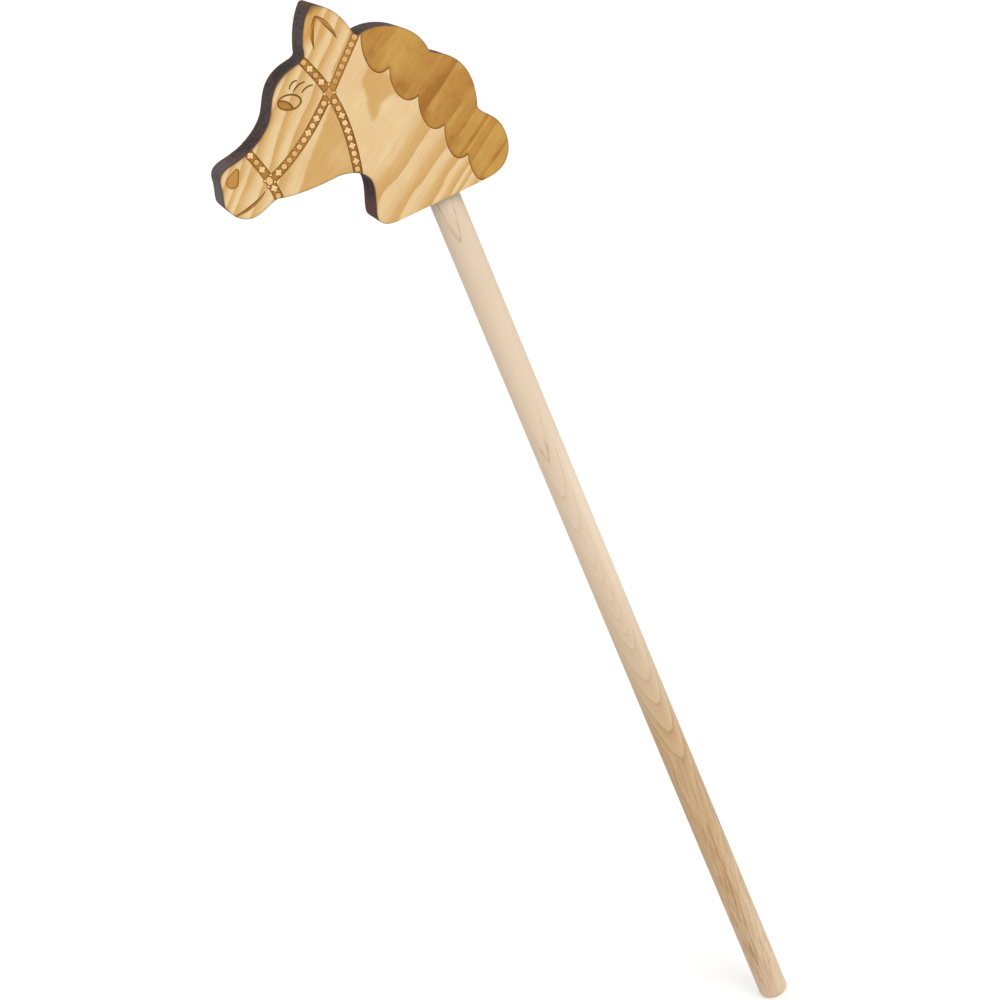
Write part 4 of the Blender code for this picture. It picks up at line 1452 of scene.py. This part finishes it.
def brown_streak(tree, place, z, noise_level):
    """How brown the wood is in the streak on the stick's near side."""
    middle = along_stick(tree, z, STREAK_PLACES)
    off = calc(tree, "ABSOLUTE", calc(tree, "SUBTRACT", place["X"], middle))
    on_near_side = calc(tree, "LESS_THAN", place["Y"], 0.0)
    held = calc(tree, "MULTIPLY", way_from(tree, off, STREAK_WIDTH / 2, 0.0), on_near_side)
    strength = calc(tree, "MULTIPLY", held, along_stick(tree, z, STREAK_LEVELS))
    return calc(tree, "MULTIPLY", strength, ramp(tree, noise_level, [(0.41, 0.1), (0.57, 1.0)]))


def maple_dowel():
    """The stick: pale and pink above, golden and streaky below, with a painted highlight down its +X side."""
    material, tree, shader = new_material("maple_dowel")
    fibres = wood_fibres(tree, 0.9, 45.0, math.pi / 2)
    scaled = node(tree, "ShaderNodeVectorMath", {0: object_place(tree), "Scale": 1.0 / MM}, operation="SCALE")
    place = node(tree, "ShaderNodeSeparateXYZ", {0: scaled.outputs[0]}).outputs
    z = place["Z"]
    rings = fill_group(tree, "ring_tone", {"Ring": arch_count(tree, place, z), "Wander": 0.22,
                                           "Noise": fibres["Coarse"]})
    leaning = wood_fibres(tree, 1.1, 32.0, math.pi / 2 - STREAK_LEAN)["Coarse"]

    def part(stops, share):
        """That share of a colour, as strong as the stops say at distances below the head."""
        return calc(tree, "MULTIPLY", along_stick(tree, z, stops), share)

    body = mixed(tree, along_stick(tree, z, GOLD_LEVELS), STICK_PINK, STICK_GOLD)
    body = mixed(tree, part(GREY_LEVELS, cloud(tree, 30.0)), body, STICK_GREY)
    # Painted highlight: a paler band down the +X side, where the key light falls on the stick.
    body = mixed(tree, part(PAINTED_HIGHLIGHT_LEVELS, way_from(tree, place["X"], *PAINTED_HIGHLIGHT_SIDE)), body, STICK_PAINTED_HIGHLIGHT)
    streaky = calc(tree, "MULTIPLY", part(TONE_LEVELS, rings["Tone"]), fibres["Coarse"])
    body = mixed(tree, streaky, body, STICK_STREAK)
    threads = ramp(tree, leaning, [(0.47, 0.0), (0.59, 1.0)])
    body = mixed(tree, part(THREAD_LEVELS, threads), body, STICK_STREAK)
    body = mixed(tree, brown_streak(tree, place, z, leaning), body, STICK_STREAK)
    body = mixed(tree, part(LINE_LEVELS, rings["Late"]), body, STICK_LINE)
    body = fine_grained(tree, body, fibres, 0.92, 1.04)
    dress_wood(tree, shader, body, fibres, 0.48, 0.62, 0.08)
    return material


def build_materials():
    build_groups()
    made = [bare_pine(), burnt_mane(), charred_edge(), stud_wood(), maple_dowel(),
            burnt_patch("mane_root", ROOT_BROWN, ROOT_DARK, ROOT_BROWN, 0.55, 0.75),
            burnt_patch("burnt_strap", STRAP_BROWN, STRAP_DARK, FAINT_FLOOR, 0.55, 0.75),
            burnt_patch("burnt_line", LINE_BROWN, LINE_DARK, FAINT_LINE, 0.5, 0.7),
            burnt_patch("burnt_fill", FILL_BROWN, FILL_DARK, FILL_GOLD, 0.55, 0.75)]
    return {material.name: material for material in made}


# Floor, light and camera

CAMERA_PLACE = Vector((-0.3521, -1.7515, 1.2449))
CAMERA_HEADING = math.radians(9.672)
CAMERA_PITCH = math.radians(-21.520)
CAMERA_ROLL = math.radians(23.223)
CAMERA_LENS = 84.649
FLOOR_SIZE = 30.0
FLOOR_GREY = 0.8
FLOOR_ROUGHNESS = 0.9
FLOOR_LIFT = 0.3
WHITE = (1.0, 1.0, 1.0, 1.0)
SKY = 0.78
KEY_FROM = Vector((0.27, -0.74, 0.61))
KEY_SPREAD = math.radians(32.0)
KEY_POWER = 0.95


def build_camera():
    data = bpy.data.cameras.new("camera")
    data.lens = CAMERA_LENS
    level = math.cos(CAMERA_PITCH)
    ahead = Vector((math.sin(CAMERA_HEADING) * level, math.cos(CAMERA_HEADING) * level,
                    math.sin(CAMERA_PITCH)))
    camera = new_object("camera", data)
    camera.location = CAMERA_PLACE
    camera.rotation_mode = "QUATERNION"
    camera.rotation_quaternion = ahead.to_track_quat("-Z", "Y") @ Quaternion((0.0, 0.0, 1.0), -CAMERA_ROLL)
    bpy.context.scene.camera = camera


def seen_directly(tree):
    """1 for rays from the camera, and for what shines in gloss or shows through glass."""
    path = node(tree, "ShaderNodeLightPath").outputs
    either = calc(tree, "MAXIMUM", path["Is Camera Ray"], path["Is Glossy Ray"])
    return calc(tree, "MAXIMUM", either, path["Is Transmission Ray"])


def build_floor():
    mesh_data = bmesh.new()
    bmesh.ops.create_grid(mesh_data, x_segments=2, y_segments=2, size=FLOOR_SIZE / 2)
    mesh = bpy.data.meshes.new("floor")
    mesh_data.to_mesh(mesh)
    mesh_data.free()
    material, tree, shader = new_material("pale_floor", 0.0)
    shader.inputs["Base Color"].default_value = (FLOOR_GREY, FLOOR_GREY, FLOOR_GREY, 1.0)
    shader.inputs["Roughness"].default_value = FLOOR_ROUGHNESS
    shader.inputs["Emission Color"].default_value = WHITE
    lift = calc(tree, "MULTIPLY", seen_directly(tree), FLOOR_LIFT)
    tree.links.new(lift, shader.inputs["Emission Strength"])
    mesh.materials.append(material)
    new_object("floor", mesh)


def build_light():
    world = bpy.data.worlds.new("studio")
    bpy.context.scene.world = world
    world.use_nodes = True
    tree = world.node_tree
    sky = tree.nodes["Background"]
    sky.inputs["Color"].default_value = WHITE
    strength = calc(tree, "MULTIPLY_ADD", seen_directly(tree), 1.0 - SKY, SKY)
    tree.links.new(strength, sky.inputs["Strength"])
    data = bpy.data.lights.new("key", "SUN")
    data.angle = KEY_SPREAD
    data.energy = KEY_POWER
    key = new_object("key", data)
    key.rotation_mode = "QUATERNION"
    key.rotation_quaternion = KEY_FROM.to_track_quat("Z", "Y")


bpy.context.scene.view_settings.view_transform = "Standard"
materials = build_materials()
head = carve_head([materials[slot] for slot in SLOTS])
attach(head, "root")
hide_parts("head_board")
for trim in build_studs(materials):
    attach(trim, "root")
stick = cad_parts["stick"]
stick.material_slots[0].material = materials["maple_dowel"]
build_camera()
build_floor()
build_light()
